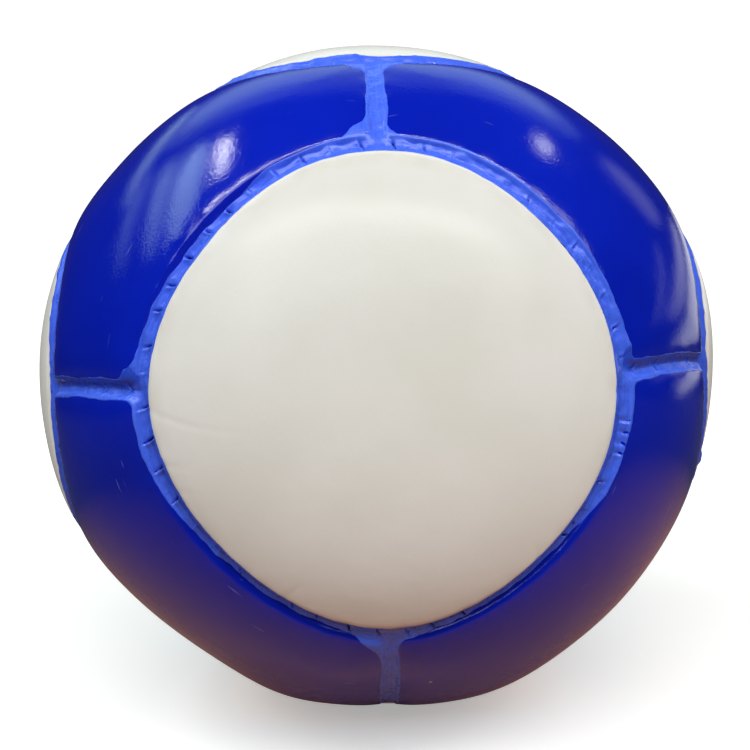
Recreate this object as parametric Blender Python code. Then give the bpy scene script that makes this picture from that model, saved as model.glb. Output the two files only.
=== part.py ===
"""A hand-sewn handball of fourteen cover panels.

Six round panels face the six sides of the ball, and eight three-armed panels fill the corners
between them. Each panel is a skin with its edge folded in as a hem, on a cloth lining of its own.
Thread runs between the hems of neighbouring panels, paint fills the seams, and a bladder with a
needle valve fills the ball. Metres, +Z up, the origin in the middle of the ball, the front at -Y.
"""

import math

import bmesh
import bpy
from mathutils import Vector

# Driving dimensions of the ball and its panels
BALL_DIAMETER = 0.1750          # over the crowns of the panels, 550 mm round
SHORT_SEAM_LENGTH = 0.0345      # between two round panels, where two three-armed ones meet
RING_SQUARENESS = 0.0006        # how far a ring seam is drawn out at its four junctions
PANEL_CROWN = 0.0008            # rise of a panel from its shoulder to its middle
SEAM_DEPTH = 0.0040             # from a panel's crown down to the foot of its folded edge
SHOULDER_WIDTH = 0.0030         # width of the folded edge, seen from above
FOLD_FULLNESS = 0.61            # 0.5 is a straight bevel, 0.71 a quarter round
COVER_THICKNESS = 0.0012
HEM_DEPTH = 0.0040
LINING_THICKNESS = 0.0010
REST_PATCH_DEPTH = 0.0005       # how far the ball flattens where it rests

# Driving dimensions of the seams
THREAD_DIAMETER = 0.0009
STITCH_PITCH = 0.0061
STITCH_HEM_MARGIN = 0.0003      # from a stitch down to the free edge of the hems
PAINT_HALF_WIDTH = 0.0025       # from the seam line to the edge of the paint
PAINT_THICKNESS = 0.0002        # over the fullest part of a folded edge

# Driving dimensions of the bladder and its valve
BLADDER_WALL = 0.0010
VALVE_NECK_DIAMETER = 0.0090
VALVE_BORE_DIAMETER = 0.0056
VALVE_FLANGE_DIAMETER = 0.0240
VALVE_FLANGE_THICKNESS = 0.0012
VALVE_STEM_LENGTH = 0.0130      # from the bladder inward
VALVE_HEAD_RECESS = 0.0004      # from the panel's face down to the valve's head
PLUG_RECESS = 0.0008            # from the valve's head down to the plug
NEEDLE_BORE_DIAMETER = 0.0018
NEEDLE_MOUTH_DIAMETER = 0.0030
NEEDLE_MOUTH_DEPTH = 0.0015
NEEDLE_POCKET_DEPTH = 0.0120

FIT_CLEARANCE = 0.0003          # between pieces that touch

# Facets
ARC_STEPS = 7                   # on a quarter of a ring seam
INNER_ARC_STEPS = 4             # the same, half way to a panel's middle
SHORT_SEAM_STEPS = 2
TURNED_STEPS = 12
BLADDER_STEPS = 16
BLADDER_RINGS = 7
SHARP_ANGLE = math.radians(40)
MERGE_DISTANCE = 1e-6
CORNER_PASSES = 4               # to close in on where a ring and a short seam meet

# Sizes that follow from the driving dimensions
BALL_RADIUS = BALL_DIAMETER / 2
SEAM_RADIUS = BALL_RADIUS - SEAM_DEPTH
HEM_FOOT_RADIUS = SEAM_RADIUS - HEM_DEPTH
HEM_FACE = THREAD_DIAMETER / 2 + FIT_CLEARANCE
SHOULDER = HEM_FACE + SHOULDER_WIDTH
HEM_INSIDE = HEM_FACE + COVER_THICKNESS
QUARTER = math.pi / 2
RING_SEAM_ANGLE = (QUARTER - SHORT_SEAM_LENGTH / SEAM_RADIUS) / 2
RING_SEAM_LENGTH = math.tau * SEAM_RADIUS * math.sin(RING_SEAM_ANGLE)
TOP_MIDDLE = Vector((0, 0, 1))
CORNER_MIDDLE = Vector((1, 1, 1)).normalized()

# Where a panel's loops lie between its middle and its shoulder
HALF_WAY = 0.5
NEAR_SHOULDER = 0.8

ROUND_SIDES = {
    "top": (0, 0, 0),
    "bottom": (math.pi, 0, 0),
    "front": (QUARTER, 0, 0),
    "back": (-QUARTER, 0, 0),
    "right": (0, QUARTER, 0),
    "left": (0, -QUARTER, 0),
}
CORNERS = {
    "back_top_right": (0, 0, 0),
    "back_top_left": (0, 0, QUARTER),
    "front_top_left": (0, 0, 2 * QUARTER),
    "front_top_right": (0, 0, 3 * QUARTER),
    "front_bottom_right": (math.pi, 0, 0),
    "back_bottom_right": (math.pi, 0, QUARTER),
    "back_bottom_left": (math.pi, 0, 2 * QUARTER),
    "front_bottom_left": (math.pi, 0, 3 * QUARTER),
}
SHORT_SEAMS = {
    "top_right": (0, 0, 0),
    "top_back": (0, 0, QUARTER),
    "top_left": (0, 0, 2 * QUARTER),
    "top_front": (0, 0, 3 * QUARTER),
    "bottom_right": (math.pi, 0, 0),
    "bottom_back": (math.pi, 0, QUARTER),
    "bottom_left": (math.pi, 0, 2 * QUARTER),
    "bottom_front": (math.pi, 0, 3 * QUARTER),
    "back_right": (-QUARTER, 0, 0),
    "back_left": (-QUARTER, 0, QUARTER),
    "front_left": (-QUARTER, 0, 2 * QUARTER),
    "front_right": (-QUARTER, 0, 3 * QUARTER),
}


def clear_scene():
    """Remove what the scene holds."""
    for old in list(bpy.data.objects):
        bpy.data.objects.remove(old, do_unlink=True)


def linear(channel):
    """One colour channel of 0 to 255 as the shader's linear value."""
    share = channel / 255
    return share / 12.92 if share <= 0.04045 else ((share + 0.055) / 1.055) ** 2.4


def make_material(name, colour, roughness):
    """A Principled BSDF of one colour."""
    material = bpy.data.materials.new(name)
    material.use_nodes = True
    shader = material.node_tree.nodes["Principled BSDF"]
    shader.inputs["Base Color"].default_value = (*[linear(c) for c in colour], 1)
    shader.inputs["Roughness"].default_value = roughness
    shader.inputs["Metallic"].default_value = 0
    return material


def place(name, data, rotation, ball):
    """Put a piece on the ball, turned to its side."""
    piece = bpy.data.objects.new(name, data)
    bpy.context.scene.collection.objects.link(piece)
    piece.parent = ball
    piece.rotation_euler = rotation
    return piece


def finish_mesh(bm, name, material):
    """Close a bmesh into a smooth-shaded mesh with its faces pointing out."""
    bmesh.ops.remove_doubles(bm, verts=bm.verts, dist=MERGE_DISTANCE)
    bmesh.ops.recalc_face_normals(bm, faces=bm.faces)
    mesh = bpy.data.meshes.new(name)
    bm.to_mesh(mesh)
    bm.free()
    mesh.shade_smooth()
    mesh.set_sharp_from_angle(angle=SHARP_ANGLE)
    mesh.materials.append(material)
    return mesh


# Seam lines, as directions from the middle of the ball
def on_ring(azimuth, offset):
    """The direction on the top ring seam, moved out of the round panel by an offset."""
    drawn_out = RING_SQUARENESS * math.cos(4 * azimuth)
    polar = RING_SEAM_ANGLE + (drawn_out + offset) / SEAM_RADIUS
    across = math.sin(polar)
    return Vector((across * math.cos(azimuth), across * math.sin(azimuth), math.cos(polar)))


def on_short_seam(turn, offset):
    """The direction beside the short seam from the top ring to the right one, turned from +Z."""
    lift = offset / SEAM_RADIUS
    flat = math.cos(lift)
    return Vector((flat * math.sin(turn), math.sin(lift), flat * math.cos(turn)))


def ring_corner(offset):
    """The azimuth at which the moved ring meets the moved short seam."""
    azimuth = 0
    for _ in range(CORNER_PASSES):
        across = on_ring(azimuth, offset).to_2d().length
        azimuth = math.asin(math.sin(offset / SEAM_RADIUS) / across)
    return azimuth


def corner_arc(offset, steps):
    """Directions along a quarter of the top ring, from one short seam to the next."""
    start = ring_corner(offset)
    sweep = QUARTER - 2 * start
    return [on_ring(start + sweep * i / steps, offset) for i in range(steps + 1)]


def round_outline(inset, steps):
    """Directions round a round panel, drawn in from its seam."""
    return [on_ring(QUARTER * i / steps, -inset) for i in range(4 * steps)]


def three_arm_outline(inset, steps):
    """Directions round a three-armed panel, drawn in from its seams."""
    arc = corner_arc(inset, steps)
    first = math.atan2(arc[0].x, arc[0].z)
    arm_end = [
        on_short_seam(first + (QUARTER - 2 * first) * i / SHORT_SEAM_STEPS, inset)
        for i in range(1, SHORT_SEAM_STEPS)
    ]
    side = arc + [Vector((d.y, d.x, d.z)) for d in arm_end]
    next_side = [Vector((d.y, d.z, d.x)) for d in side]
    last_side = [Vector((d.y, d.z, d.x)) for d in next_side]
    return side + next_side + last_side


# Cross-section of a folded panel edge: inset from the seam line, and depth below the crown
def fold_corner():
    """The fullest point of the folded edge."""
    inset = HEM_FACE + SHOULDER_WIDTH * (1 - FOLD_FULLNESS)
    depth = SEAM_DEPTH - (SEAM_DEPTH - PANEL_CROWN) * FOLD_FULLNESS
    return Vector((inset, depth))


def fold_depth(inset):
    """Depth of the folded edge's outside at an inset."""
    shoulder = Vector((SHOULDER, PANEL_CROWN))
    corner = fold_corner()
    foot = Vector((HEM_FACE, SEAM_DEPTH))
    high, low = (shoulder, corner) if inset > corner.x else (corner, foot)
    share = (high.x - inset) / (high.x - low.x)
    return high.y + share * (low.y - high.y)


def outward_normal(start, end):
    """The unit normal of a stretch of the folded edge, pointing out of the panel."""
    run = (end - start).normalized()
    return Vector((-run.y, run.x))


def paint_section():
    """The paint's edge, valley, underside and keel on one side of a seam."""
    shoulder = Vector((SHOULDER, PANEL_CROWN))
    corner = fold_corner()
    foot = Vector((HEM_FACE, SEAM_DEPTH))
    upper = outward_normal(shoulder, corner)
    lower = outward_normal(corner, foot)
    under = corner + (upper + lower) * FIT_CLEARANCE / (1 + upper.dot(lower))
    slope = (corner.y - shoulder.y) / (corner.x - shoulder.x)
    edge = Vector((PAINT_HALF_WIDTH, under.y + slope * (PAINT_HALF_WIDTH - under.x)))
    over = Vector((under.x, under.y - PAINT_THICKNESS))
    rise = (over.y - edge.y) / (edge.x - over.x)
    valley = Vector((0, over.y + rise * over.x))
    keel = Vector((0, SEAM_DEPTH))
    return edge, valley, keel, under


# Loops of points, and the skins between them
def add_loop(bm, directions, depth):
    """A closed loop of edges at a depth below the crown."""
    verts = [bm.verts.new(d * (BALL_RADIUS - depth)) for d in directions]
    return [bm.edges.new((v, verts[i - 1])) for i, v in enumerate(verts)]


def add_chain(bm, directions, depth):
    """An open chain of edges at a depth below the crown."""
    verts = [bm.verts.new(d * (BALL_RADIUS - depth)) for d in directions]
    return [bm.edges.new(pair) for pair in zip(verts, verts[1:])]


def bridge(bm, loops):
    """Skin each loop to the next."""
    for first, second in zip(loops, loops[1:]):
        bmesh.ops.bridge_loops(bm, edges=first + second)


def close_dome(bm, loop, apex):
    """Close a loop with a fan that rises to an apex."""
    cap = bmesh.ops.edgenet_fill(bm, edges=loop)["faces"]
    fan = bmesh.ops.poke(bm, faces=cap)
    fan["verts"][0].co = apex


def toward_middle(middle, outline, share):
    """Directions a share of the way from a panel's middle to its outline."""
    return [middle.slerp(direction, share) for direction in outline]


def circle_directions(radius, level, steps):
    """Directions to a circle that lies level round the top of the ball."""
    return [
        Vector((radius * math.cos(a), radius * math.sin(a), level)).normalized()
        for a in (math.tau * i / steps for i in range(steps))
    ]


def crown_depth(share):
    """How far a panel's face has dropped, a share of the way to its shoulder."""
    return PANEL_CROWN * share ** 2


def cover_mesh(name, outline, middle, material, centre="dome"):
    """A cover panel: crown, folded edge, hem and the inner face."""
    bm = bmesh.new()
    shoulder = outline(SHOULDER, ARC_STEPS)
    half = toward_middle(middle, outline(SHOULDER, INNER_ARC_STEPS), HALF_WAY)
    fold = fold_corner()
    hem_inside = outline(HEM_INSIDE, ARC_STEPS)
    inner_half_depth = crown_depth(HALF_WAY) + COVER_THICKNESS
    outer = [
        add_loop(bm, half, crown_depth(HALF_WAY)),
        add_loop(bm, toward_middle(middle, shoulder, NEAR_SHOULDER), crown_depth(NEAR_SHOULDER)),
        add_loop(bm, shoulder, PANEL_CROWN),
        add_loop(bm, outline(fold.x, ARC_STEPS), fold.y),
        add_loop(bm, outline(HEM_FACE, ARC_STEPS), SEAM_DEPTH),
        add_loop(bm, outline(HEM_FACE, ARC_STEPS), SEAM_DEPTH + HEM_DEPTH),
        add_loop(bm, hem_inside, SEAM_DEPTH + HEM_DEPTH),
        add_loop(bm, hem_inside, fold_depth(HEM_INSIDE) + COVER_THICKNESS),
        add_loop(bm, half, inner_half_depth),
    ]
    bridge(bm, outer)
    inner_apex = middle * (BALL_RADIUS - COVER_THICKNESS)
    if centre == "hole":
        radius = VALVE_NECK_DIAMETER / 2 + FIT_CLEARANCE
        rim = circle_directions(radius, BALL_RADIUS - COVER_THICKNESS, len(half))
        outer_rim = add_loop(bm, rim, 0)
        inner_rim = add_loop(bm, rim, COVER_THICKNESS)
        bridge(bm, [outer[0], outer_rim, inner_rim, outer[-1]])
    elif centre == "rest":
        level = BALL_RADIUS - REST_PATCH_DEPTH
        radius = math.sqrt(BALL_RADIUS ** 2 - level ** 2)
        patch = add_loop(bm, circle_directions(radius, level, len(half)), 0)
        bridge(bm, [outer[0], patch])
        bmesh.ops.edgenet_fill(bm, edges=patch)
        close_dome(bm, outer[-1], inner_apex)
    else:
        close_dome(bm, outer[0], middle * BALL_RADIUS)
        close_dome(bm, outer[-1], inner_apex)
    return finish_mesh(bm, name, material)


def lining_mesh(name, outline, middle, material, centre="dome"):
    """A cloth lining that follows the inside of its cover panel."""
    bm = bmesh.new()
    rim = outline(HEM_INSIDE + FIT_CLEARANCE, ARC_STEPS)
    half = toward_middle(middle, outline(SHOULDER, INNER_ARC_STEPS), HALF_WAY)
    outside = COVER_THICKNESS + FIT_CLEARANCE
    inside = outside + LINING_THICKNESS
    rim_depth = fold_depth(HEM_INSIDE)
    loops = [
        add_loop(bm, half, crown_depth(HALF_WAY) + outside),
        add_loop(bm, rim, rim_depth + outside),
        add_loop(bm, rim, rim_depth + inside),
        add_loop(bm, half, crown_depth(HALF_WAY) + inside),
    ]
    bridge(bm, loops)
    if centre == "hole":
        radius = VALVE_NECK_DIAMETER / 2 + FIT_CLEARANCE
        hole = circle_directions(radius, BALL_RADIUS - inside, len(half))
        bridge(bm, [loops[0], add_loop(bm, hole, outside), add_loop(bm, hole, inside), loops[-1]])
    else:
        close_dome(bm, loops[0], middle * (BALL_RADIUS - outside))
        close_dome(bm, loops[-1], middle * (BALL_RADIUS - inside))
    return finish_mesh(bm, name, material)


def turned(direction, quarters):
    """A direction turned about +Z by a number of quarter turns."""
    for _ in range(quarters):
        direction = Vector((-direction.y, direction.x, direction.z))
    return direction


def paint_mesh(name, material):
    """The paint in the top ring seam and in the near halves of its four short seams."""
    bm = bmesh.new()
    edge, valley, keel, under = paint_section()
    strips = [(edge, valley), (keel, under), (under, edge)]
    for sides in strips:
        bridge(bm, [add_loop(bm, round_outline(p.x, ARC_STEPS), p.y) for p in sides])
    half_way = QUARTER / 2 - FIT_CLEARANCE / 2 / SEAM_RADIUS
    for quarter in range(4):
        for sides in strips:
            chains = []
            for point in sides:
                near = on_short_seam(half_way, point.x)
                far = Vector((near.y, near.x, near.z))
                route = [near, *corner_arc(point.x, ARC_STEPS), far]
                chains.append(add_chain(bm, [turned(d, quarter) for d in route], point.y))
            bridge(bm, chains)
    bmesh.ops.remove_doubles(bm, verts=bm.verts, dist=MERGE_DISTANCE)
    open_ends = [side for side in bm.edges if side.is_boundary]
    bmesh.ops.holes_fill(bm, edges=open_ends, sides=0)
    return finish_mesh(bm, name, material)


def thread_curve(name, directions, closed, material):
    """A thread that passes up and down between the hems, one hole to the next."""
    high = SEAM_RADIUS - FIT_CLEARANCE - THREAD_DIAMETER
    low = HEM_FOOT_RADIUS + STITCH_HEM_MARGIN + THREAD_DIAMETER / 2
    curve = bpy.data.curves.new(name, "CURVE")
    curve.dimensions = "3D"
    curve.bevel_depth = THREAD_DIAMETER / 2
    curve.bevel_resolution = 0
    curve.use_fill_caps = True
    spline = curve.splines.new("POLY")
    spline.points.add(len(directions) - 1)
    spline.use_cyclic_u = closed
    for i, direction in enumerate(directions):
        radius = low if i % 2 else high
        spline.points[i].co = (*(direction * radius), 1)
    curve.materials.append(material)
    return curve


def ring_thread(name, material):
    """The thread of the top ring seam."""
    stitches = 2 * round(RING_SEAM_LENGTH / STITCH_PITCH / 2)
    half_turn = math.pi / stitches
    route = [on_ring(half_turn * (2 * i + 1), 0) for i in range(stitches)]
    return thread_curve(name, route, True, material)


def short_thread(name, material):
    """The thread of the short seam from the top ring to the right one."""
    ring = on_ring(0, THREAD_DIAMETER + FIT_CLEARANCE)
    first = math.atan2(ring.x, ring.z)
    sweep = QUARTER - 2 * first
    stitches = round(sweep * SEAM_RADIUS / STITCH_PITCH)
    route = [on_short_seam(first + sweep * i / stitches, 0) for i in range(stitches + 1)]
    return thread_curve(name, route, False, material)


def turned_mesh(name, profile, steps, material):
    """A closed profile of (radius, height) points turned about +Z."""
    bm = bmesh.new()
    verts = [bm.verts.new((radius, 0, height)) for radius, height in profile]
    edges = [bm.edges.new((v, verts[i - 1])) for i, v in enumerate(verts)]
    on_axis = [e for e in edges if all(v.co.x < MERGE_DISTANCE for v in e.verts)]
    bmesh.ops.delete(bm, geom=on_axis, context="EDGES")
    bmesh.ops.spin(
        bm,
        geom=bm.verts[:] + bm.edges[:],
        cent=(0, 0, 0),
        axis=(0, 0, 1),
        angle=math.tau,
        steps=steps,
    )
    return finish_mesh(bm, name, material)


def bladder_radius():
    """The bladder lies just inside the free edges of the hems."""
    step = QUARTER / ARC_STEPS * math.sin(RING_SEAM_ANGLE)
    return HEM_FOOT_RADIUS * math.cos(step / 2) - FIT_CLEARANCE


def bladder_mesh(name, material):
    """A hollow ball, open where the valve goes in."""
    outside = bladder_radius()
    inside = outside - BLADDER_WALL
    opening = math.asin((VALVE_NECK_DIAMETER / 2 + FIT_CLEARANCE) / inside)
    turns = [opening + (math.pi - opening) * i / BLADDER_RINGS for i in range(BLADDER_RINGS + 1)]
    outer = [(outside * math.sin(t), outside * math.cos(t)) for t in turns[:-1]]
    inner = [(inside * math.sin(t), inside * math.cos(t)) for t in turns[:-1]]
    profile = outer + [(0, -outside), (0, -inside)] + inner[::-1]
    return turned_mesh(name, profile, BLADDER_STEPS, material)


def valve_body_mesh(name, material):
    """The rubber valve: a neck through the cover, a flange on the bladder and a stem inside it."""
    neck = VALVE_NECK_DIAMETER / 2
    bore = VALVE_BORE_DIAMETER / 2
    flange = VALVE_FLANGE_DIAMETER / 2
    seat = bladder_radius() + FIT_CLEARANCE
    head = BALL_RADIUS - VALVE_HEAD_RECESS
    stem_end = seat - VALVE_STEM_LENGTH
    near, far = (math.sqrt(seat ** 2 - r ** 2) for r in (neck, flange))
    profile = [
        (bore, head),
        (neck, head),
        (neck, near + VALVE_FLANGE_THICKNESS),
        (flange, far + VALVE_FLANGE_THICKNESS / 2),
        (flange, far),
        (neck, near),
        (neck, stem_end),
        (bore, stem_end),
    ]
    return turned_mesh(name, profile, TURNED_STEPS, material)


def valve_plug_mesh(name, material):
    """The soft plug in the valve, with a pocket that the needle goes into."""
    outside = VALVE_BORE_DIAMETER / 2 - FIT_CLEARANCE
    top = BALL_RADIUS - VALVE_HEAD_RECESS - PLUG_RECESS
    bottom = bladder_radius() + FIT_CLEARANCE - VALVE_STEM_LENGTH
    needle = NEEDLE_BORE_DIAMETER / 2
    profile = [
        (NEEDLE_MOUTH_DIAMETER / 2, top),
        (outside, top),
        (outside, bottom),
        (0, bottom),
        (0, top - NEEDLE_POCKET_DEPTH),
        (needle, top - NEEDLE_POCKET_DEPTH),
        (needle, top - NEEDLE_MOUTH_DEPTH),
    ]
    return turned_mesh(name, profile, TURNED_STEPS, material)


def build_panels(ball):
    """The fourteen covers and their linings."""
    ivory = make_material("ivory_skin", (233, 229, 218), 0.42)
    blue = make_material("patent_blue_skin", (6, 28, 172), 0.16)
    cloth = make_material("lining_cloth", (214, 206, 188), 0.90)
    centres = {"bottom": "rest", "back": "hole"}
    covers = {
        centre: cover_mesh(f"round_cover_{centre}", round_outline, TOP_MIDDLE, ivory, centre)
        for centre in ("dome", "rest", "hole")
    }
    linings = {
        centre: lining_mesh(f"round_lining_{centre}", round_outline, TOP_MIDDLE, cloth, centre)
        for centre in ("dome", "hole")
    }
    for side, rotation in ROUND_SIDES.items():
        centre = centres.get(side, "dome")
        place(f"round_panel_{side}", covers[centre], rotation, ball)
        lining = linings["hole" if centre == "hole" else "dome"]
        place(f"round_lining_{side}", lining, rotation, ball)
    cover = cover_mesh("arm_cover", three_arm_outline, CORNER_MIDDLE, blue)
    lining = lining_mesh("arm_lining", three_arm_outline, CORNER_MIDDLE, cloth)
    for corner, rotation in CORNERS.items():
        place(f"arm_panel_{corner}", cover, rotation, ball)
        place(f"arm_lining_{corner}", lining, rotation, ball)


def build_seams(ball):
    """The threads and the paint over them."""
    thread = make_material("seam_thread", (205, 212, 230), 0.70)
    light_blue = make_material("seam_paint", (66, 100, 240), 0.45)
    ring = ring_thread("ring_thread", thread)
    paint = paint_mesh("seam_paint", light_blue)
    for side, rotation in ROUND_SIDES.items():
        place(f"ring_thread_{side}", ring, rotation, ball)
        place(f"seam_paint_{side}", paint, rotation, ball)
    short = short_thread("short_thread", thread)
    for seam, rotation in SHORT_SEAMS.items():
        place(f"short_thread_{seam}", short, rotation, ball)


def build_bladder(ball):
    """The bladder and its valve, which looks out of the back panel."""
    latex = make_material("bladder_rubber", (44, 42, 42), 0.60)
    black = make_material("valve_rubber", (26, 26, 28), 0.55)
    plug = make_material("plug_rubber", (52, 50, 50), 0.60)
    back = ROUND_SIDES["back"]
    place("bladder", bladder_mesh("bladder", latex), back, ball)
    place("valve_body", valve_body_mesh("valve_body", black), back, ball)
    place("valve_plug", valve_plug_mesh("valve_plug", plug), back, ball)


def build():
    """The whole ball, on an empty at its middle."""
    clear_scene()
    ball = bpy.data.objects.new("handball", None)
    bpy.context.scene.collection.objects.link(ball)
    build_panels(ball)
    build_seams(ball)
    build_bladder(ball)


build()
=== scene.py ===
# %% [markdown]
# A hand-sewn handball
#
# The ball has a cover of fourteen panels: six round ivory ones on its six sides, and eight
# three-armed blue ones in the corners between them. Every seam is painted over by hand in a
# lighter blue. The frame that is loaded here holds each piece at its true size, with flat facets.
# This lesson lays a fine surface over each of those pieces, and leaves them all where they are.

# %% Load the frame
import math

import bpy
import numpy as np
from mathutils import Matrix, Vector


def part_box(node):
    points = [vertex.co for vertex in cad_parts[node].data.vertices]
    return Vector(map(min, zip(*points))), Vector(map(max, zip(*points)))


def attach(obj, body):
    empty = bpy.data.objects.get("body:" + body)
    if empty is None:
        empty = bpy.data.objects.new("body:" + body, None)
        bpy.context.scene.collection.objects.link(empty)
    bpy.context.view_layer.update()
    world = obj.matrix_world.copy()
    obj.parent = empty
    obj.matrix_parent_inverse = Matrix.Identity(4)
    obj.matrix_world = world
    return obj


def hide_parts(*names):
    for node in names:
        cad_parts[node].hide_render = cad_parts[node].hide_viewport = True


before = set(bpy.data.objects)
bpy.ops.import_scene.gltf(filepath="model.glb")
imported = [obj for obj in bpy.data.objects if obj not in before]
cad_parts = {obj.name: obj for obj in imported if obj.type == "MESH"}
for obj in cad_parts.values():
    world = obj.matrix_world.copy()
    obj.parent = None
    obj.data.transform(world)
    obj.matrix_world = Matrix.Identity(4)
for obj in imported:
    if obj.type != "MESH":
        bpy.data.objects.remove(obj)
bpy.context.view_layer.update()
bpy.ops.object.select_all(action="DESELECT")

# %% [markdown]
# Sizes
#
# The ball's radius and the level that it rests on are read from the frame, so that nothing has to
# be fitted later. The sizes of the seams are repeated here in millimetres: each panel's edge is
# folded down into a seam, and the hems of two neighbours stand side by side below it.

# %% Sizes of the ball and its seams
MM = 0.001
QUARTER = math.pi / 2
BALL_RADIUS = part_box("round_panel_top")[1].z
REST_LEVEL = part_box("round_panel_bottom")[0].z
SEAM_DEPTH = 4.0 * MM
SEAM_RADIUS = BALL_RADIUS - SEAM_DEPTH
SHORT_SEAM = 34.5 * MM
RING_SQUARENESS = 0.6 * MM
RING_ANGLE = (QUARTER - SHORT_SEAM / SEAM_RADIUS) / 2
RING_STITCHES = 48
SHORT_STITCHES = 5
STITCH_PITCH = math.tau * SEAM_RADIUS * math.sin(RING_ANGLE) / RING_STITCHES
print(f"ball {2 * BALL_RADIUS / MM:.1f} mm across")
print(f"ring seams lie {math.degrees(RING_ANGLE):.1f} degrees from a round panel's middle")
print(f"one stitch each {STITCH_PITCH / MM:.2f} mm")

# %% [markdown]
# The camera
#
# The picture was taken from close by: the ball fills it, and less than half of the ball shows. A
# camera that stands 2.7 ball radii from the middle sees the same share. It looks a little down,
# from a little to the left, and is tipped by a degree and a half, as one held in the hand is. The
# lens is worked out from the size of the ball's edge in the picture.

# %% Camera
CAMERA_DISTANCE = 2.7 * BALL_RADIUS
CAMERA_RISE = math.radians(2.5)
CAMERA_TURN = math.radians(-1.7)
CAMERA_ROLL = math.radians(-1.5)
IMAGE_WIDTH = 750
EDGE_PIXELS = 334
NEAREST_SEEN = 10 * MM

edge_slope = BALL_RADIUS / math.sqrt(CAMERA_DISTANCE ** 2 - BALL_RADIUS ** 2)
bpy.ops.object.camera_add()
camera = bpy.context.object
camera.name = "camera"
camera.data.sensor_fit = "HORIZONTAL"
camera.data.angle = 2 * math.atan(IMAGE_WIDTH / 2 / EDGE_PIXELS * edge_slope)
camera.data.clip_start = NEAREST_SEEN
stand = Vector((math.sin(CAMERA_TURN), -math.cos(CAMERA_TURN), math.tan(CAMERA_RISE))).normalized()
aim = (-stand).to_track_quat("-Z", "Y").to_matrix() @ Matrix.Rotation(CAMERA_ROLL, 3, "Z")
camera.location = stand * CAMERA_DISTANCE
camera.rotation_euler = aim.to_euler()
bpy.context.scene.camera = camera
bpy.context.scene.view_settings.view_transform = "Standard"
print(f"the camera sees {math.degrees(camera.data.angle):.1f} degrees")

# %% [markdown]
# Colours and nodes
#
# Colours are easiest to judge on a screen, so they are written as a screen shows them, from 0 to
# 255. A shader wants the amount of light instead, which one formula gives. Finishes are built from
# nodes, and one helper adds a node, sets its values and links its inputs in a single call.


# %% Colour and node helpers
def light_of(red, green, blue):
    """A colour as a screen shows it, as the amounts of light that a shader wants."""
    shares = np.array([red, green, blue]) / 255
    amounts = np.where(shares <= 0.04045, shares / 12.92, ((shares + 0.055) / 1.055) ** 2.4)
    return (*amounts.tolist(), 1.0)


def new_finish(name):
    """A new material, with its node tree and its shader."""
    finish = bpy.data.materials.new(name)
    finish.use_nodes = True
    return finish, finish.node_tree, finish.node_tree.nodes["Principled BSDF"]


def add_node(tree, kind, inputs, **settings):
    """A node with its settings, and with each input set to a value or linked to a socket."""
    node = tree.nodes.new(kind)
    for name, value in settings.items():
        setattr(node, name, value)
    for name, value in inputs.items():
        if isinstance(value, bpy.types.NodeSocket):
            tree.links.new(value, node.inputs[name])
        else:
            node.inputs[name].default_value = value
    return node


print("mid grey on a screen is", round(light_of(128, 128, 128)[0], 3), "of the light")

# %% [markdown]
# The floor
#
# The ball stands on a pale sweep: a floor that bends up into a wall, so that no line shows behind
# it. Blender's plane is only flat, so its far edge is extruded upwards and the fold is bevelled
# round. The floor lies a hair below the ball, because two faces at one level would flicker.

# %% Floor and backdrop
FLOOR_SIZE = 3.6
FLOOR_GAP = 0.05 * MM
WALL_HEIGHT = 1.8
SWEEP_RADIUS = 0.7
SWEEP_STEPS = 24


def select_far_edge(sheet):
    """Select the edges on the far side of the floor that lie level with it."""
    bpy.ops.object.mode_set(mode="OBJECT")
    for edge in sheet.data.edges:
        ends = [sheet.data.vertices[i].co for i in edge.vertices]
        edge.select = all(end.y > FLOOR_SIZE / 4 and abs(end.z) < MM for end in ends)
    bpy.ops.object.mode_set(mode="EDIT")


bpy.ops.mesh.primitive_plane_add(size=FLOOR_SIZE, location=(0, 0, REST_LEVEL - FLOOR_GAP))
floor = bpy.context.object
floor.name = "floor"
bpy.ops.object.mode_set(mode="EDIT")
bpy.ops.mesh.select_mode(type="EDGE")
bpy.ops.mesh.select_all(action="DESELECT")
select_far_edge(floor)
bpy.ops.mesh.extrude_region_move(TRANSFORM_OT_translate={"value": (0, 0, WALL_HEIGHT)})
bpy.ops.mesh.select_all(action="DESELECT")
select_far_edge(floor)
bpy.ops.mesh.bevel(offset=SWEEP_RADIUS, segments=SWEEP_STEPS)
bpy.ops.object.mode_set(mode="OBJECT")
bpy.ops.object.shade_smooth()
print("floor and backdrop:", len(floor.data.polygons), "faces")

# %% [markdown]
# Paper of the floor
#
# Seen by the camera, the paper is pale and glows a little, most of all far from the ball, so that
# it runs into white and keeps the shadow under the ball. The light that it throws back is another
# matter, because the lower half of the ball is deep in warm shade: for such light the paper is warm
# close to the ball and dark further off. In the gloss it is nearly dark as well, or it would lie as
# a pale band on the blue. A Light Path node tells these cases apart.

# %% Pale paper
SEEN_PAPER = light_of(246, 244, 240)
WARM_PAPER = light_of(196, 134, 100)
DARK_PAPER = light_of(34, 26, 24)
PAPER_ROUGHNESS = 0.9
MIRRORED_SHARE = 0.015
LIT_MIDDLE = (0.04, 0, 0)
WARM_RANGE = (0.10, 0.26)
GLOW_RANGE = (0.1, 0.9)
GLOW_STRENGTHS = (0.38, 0.95)

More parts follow.
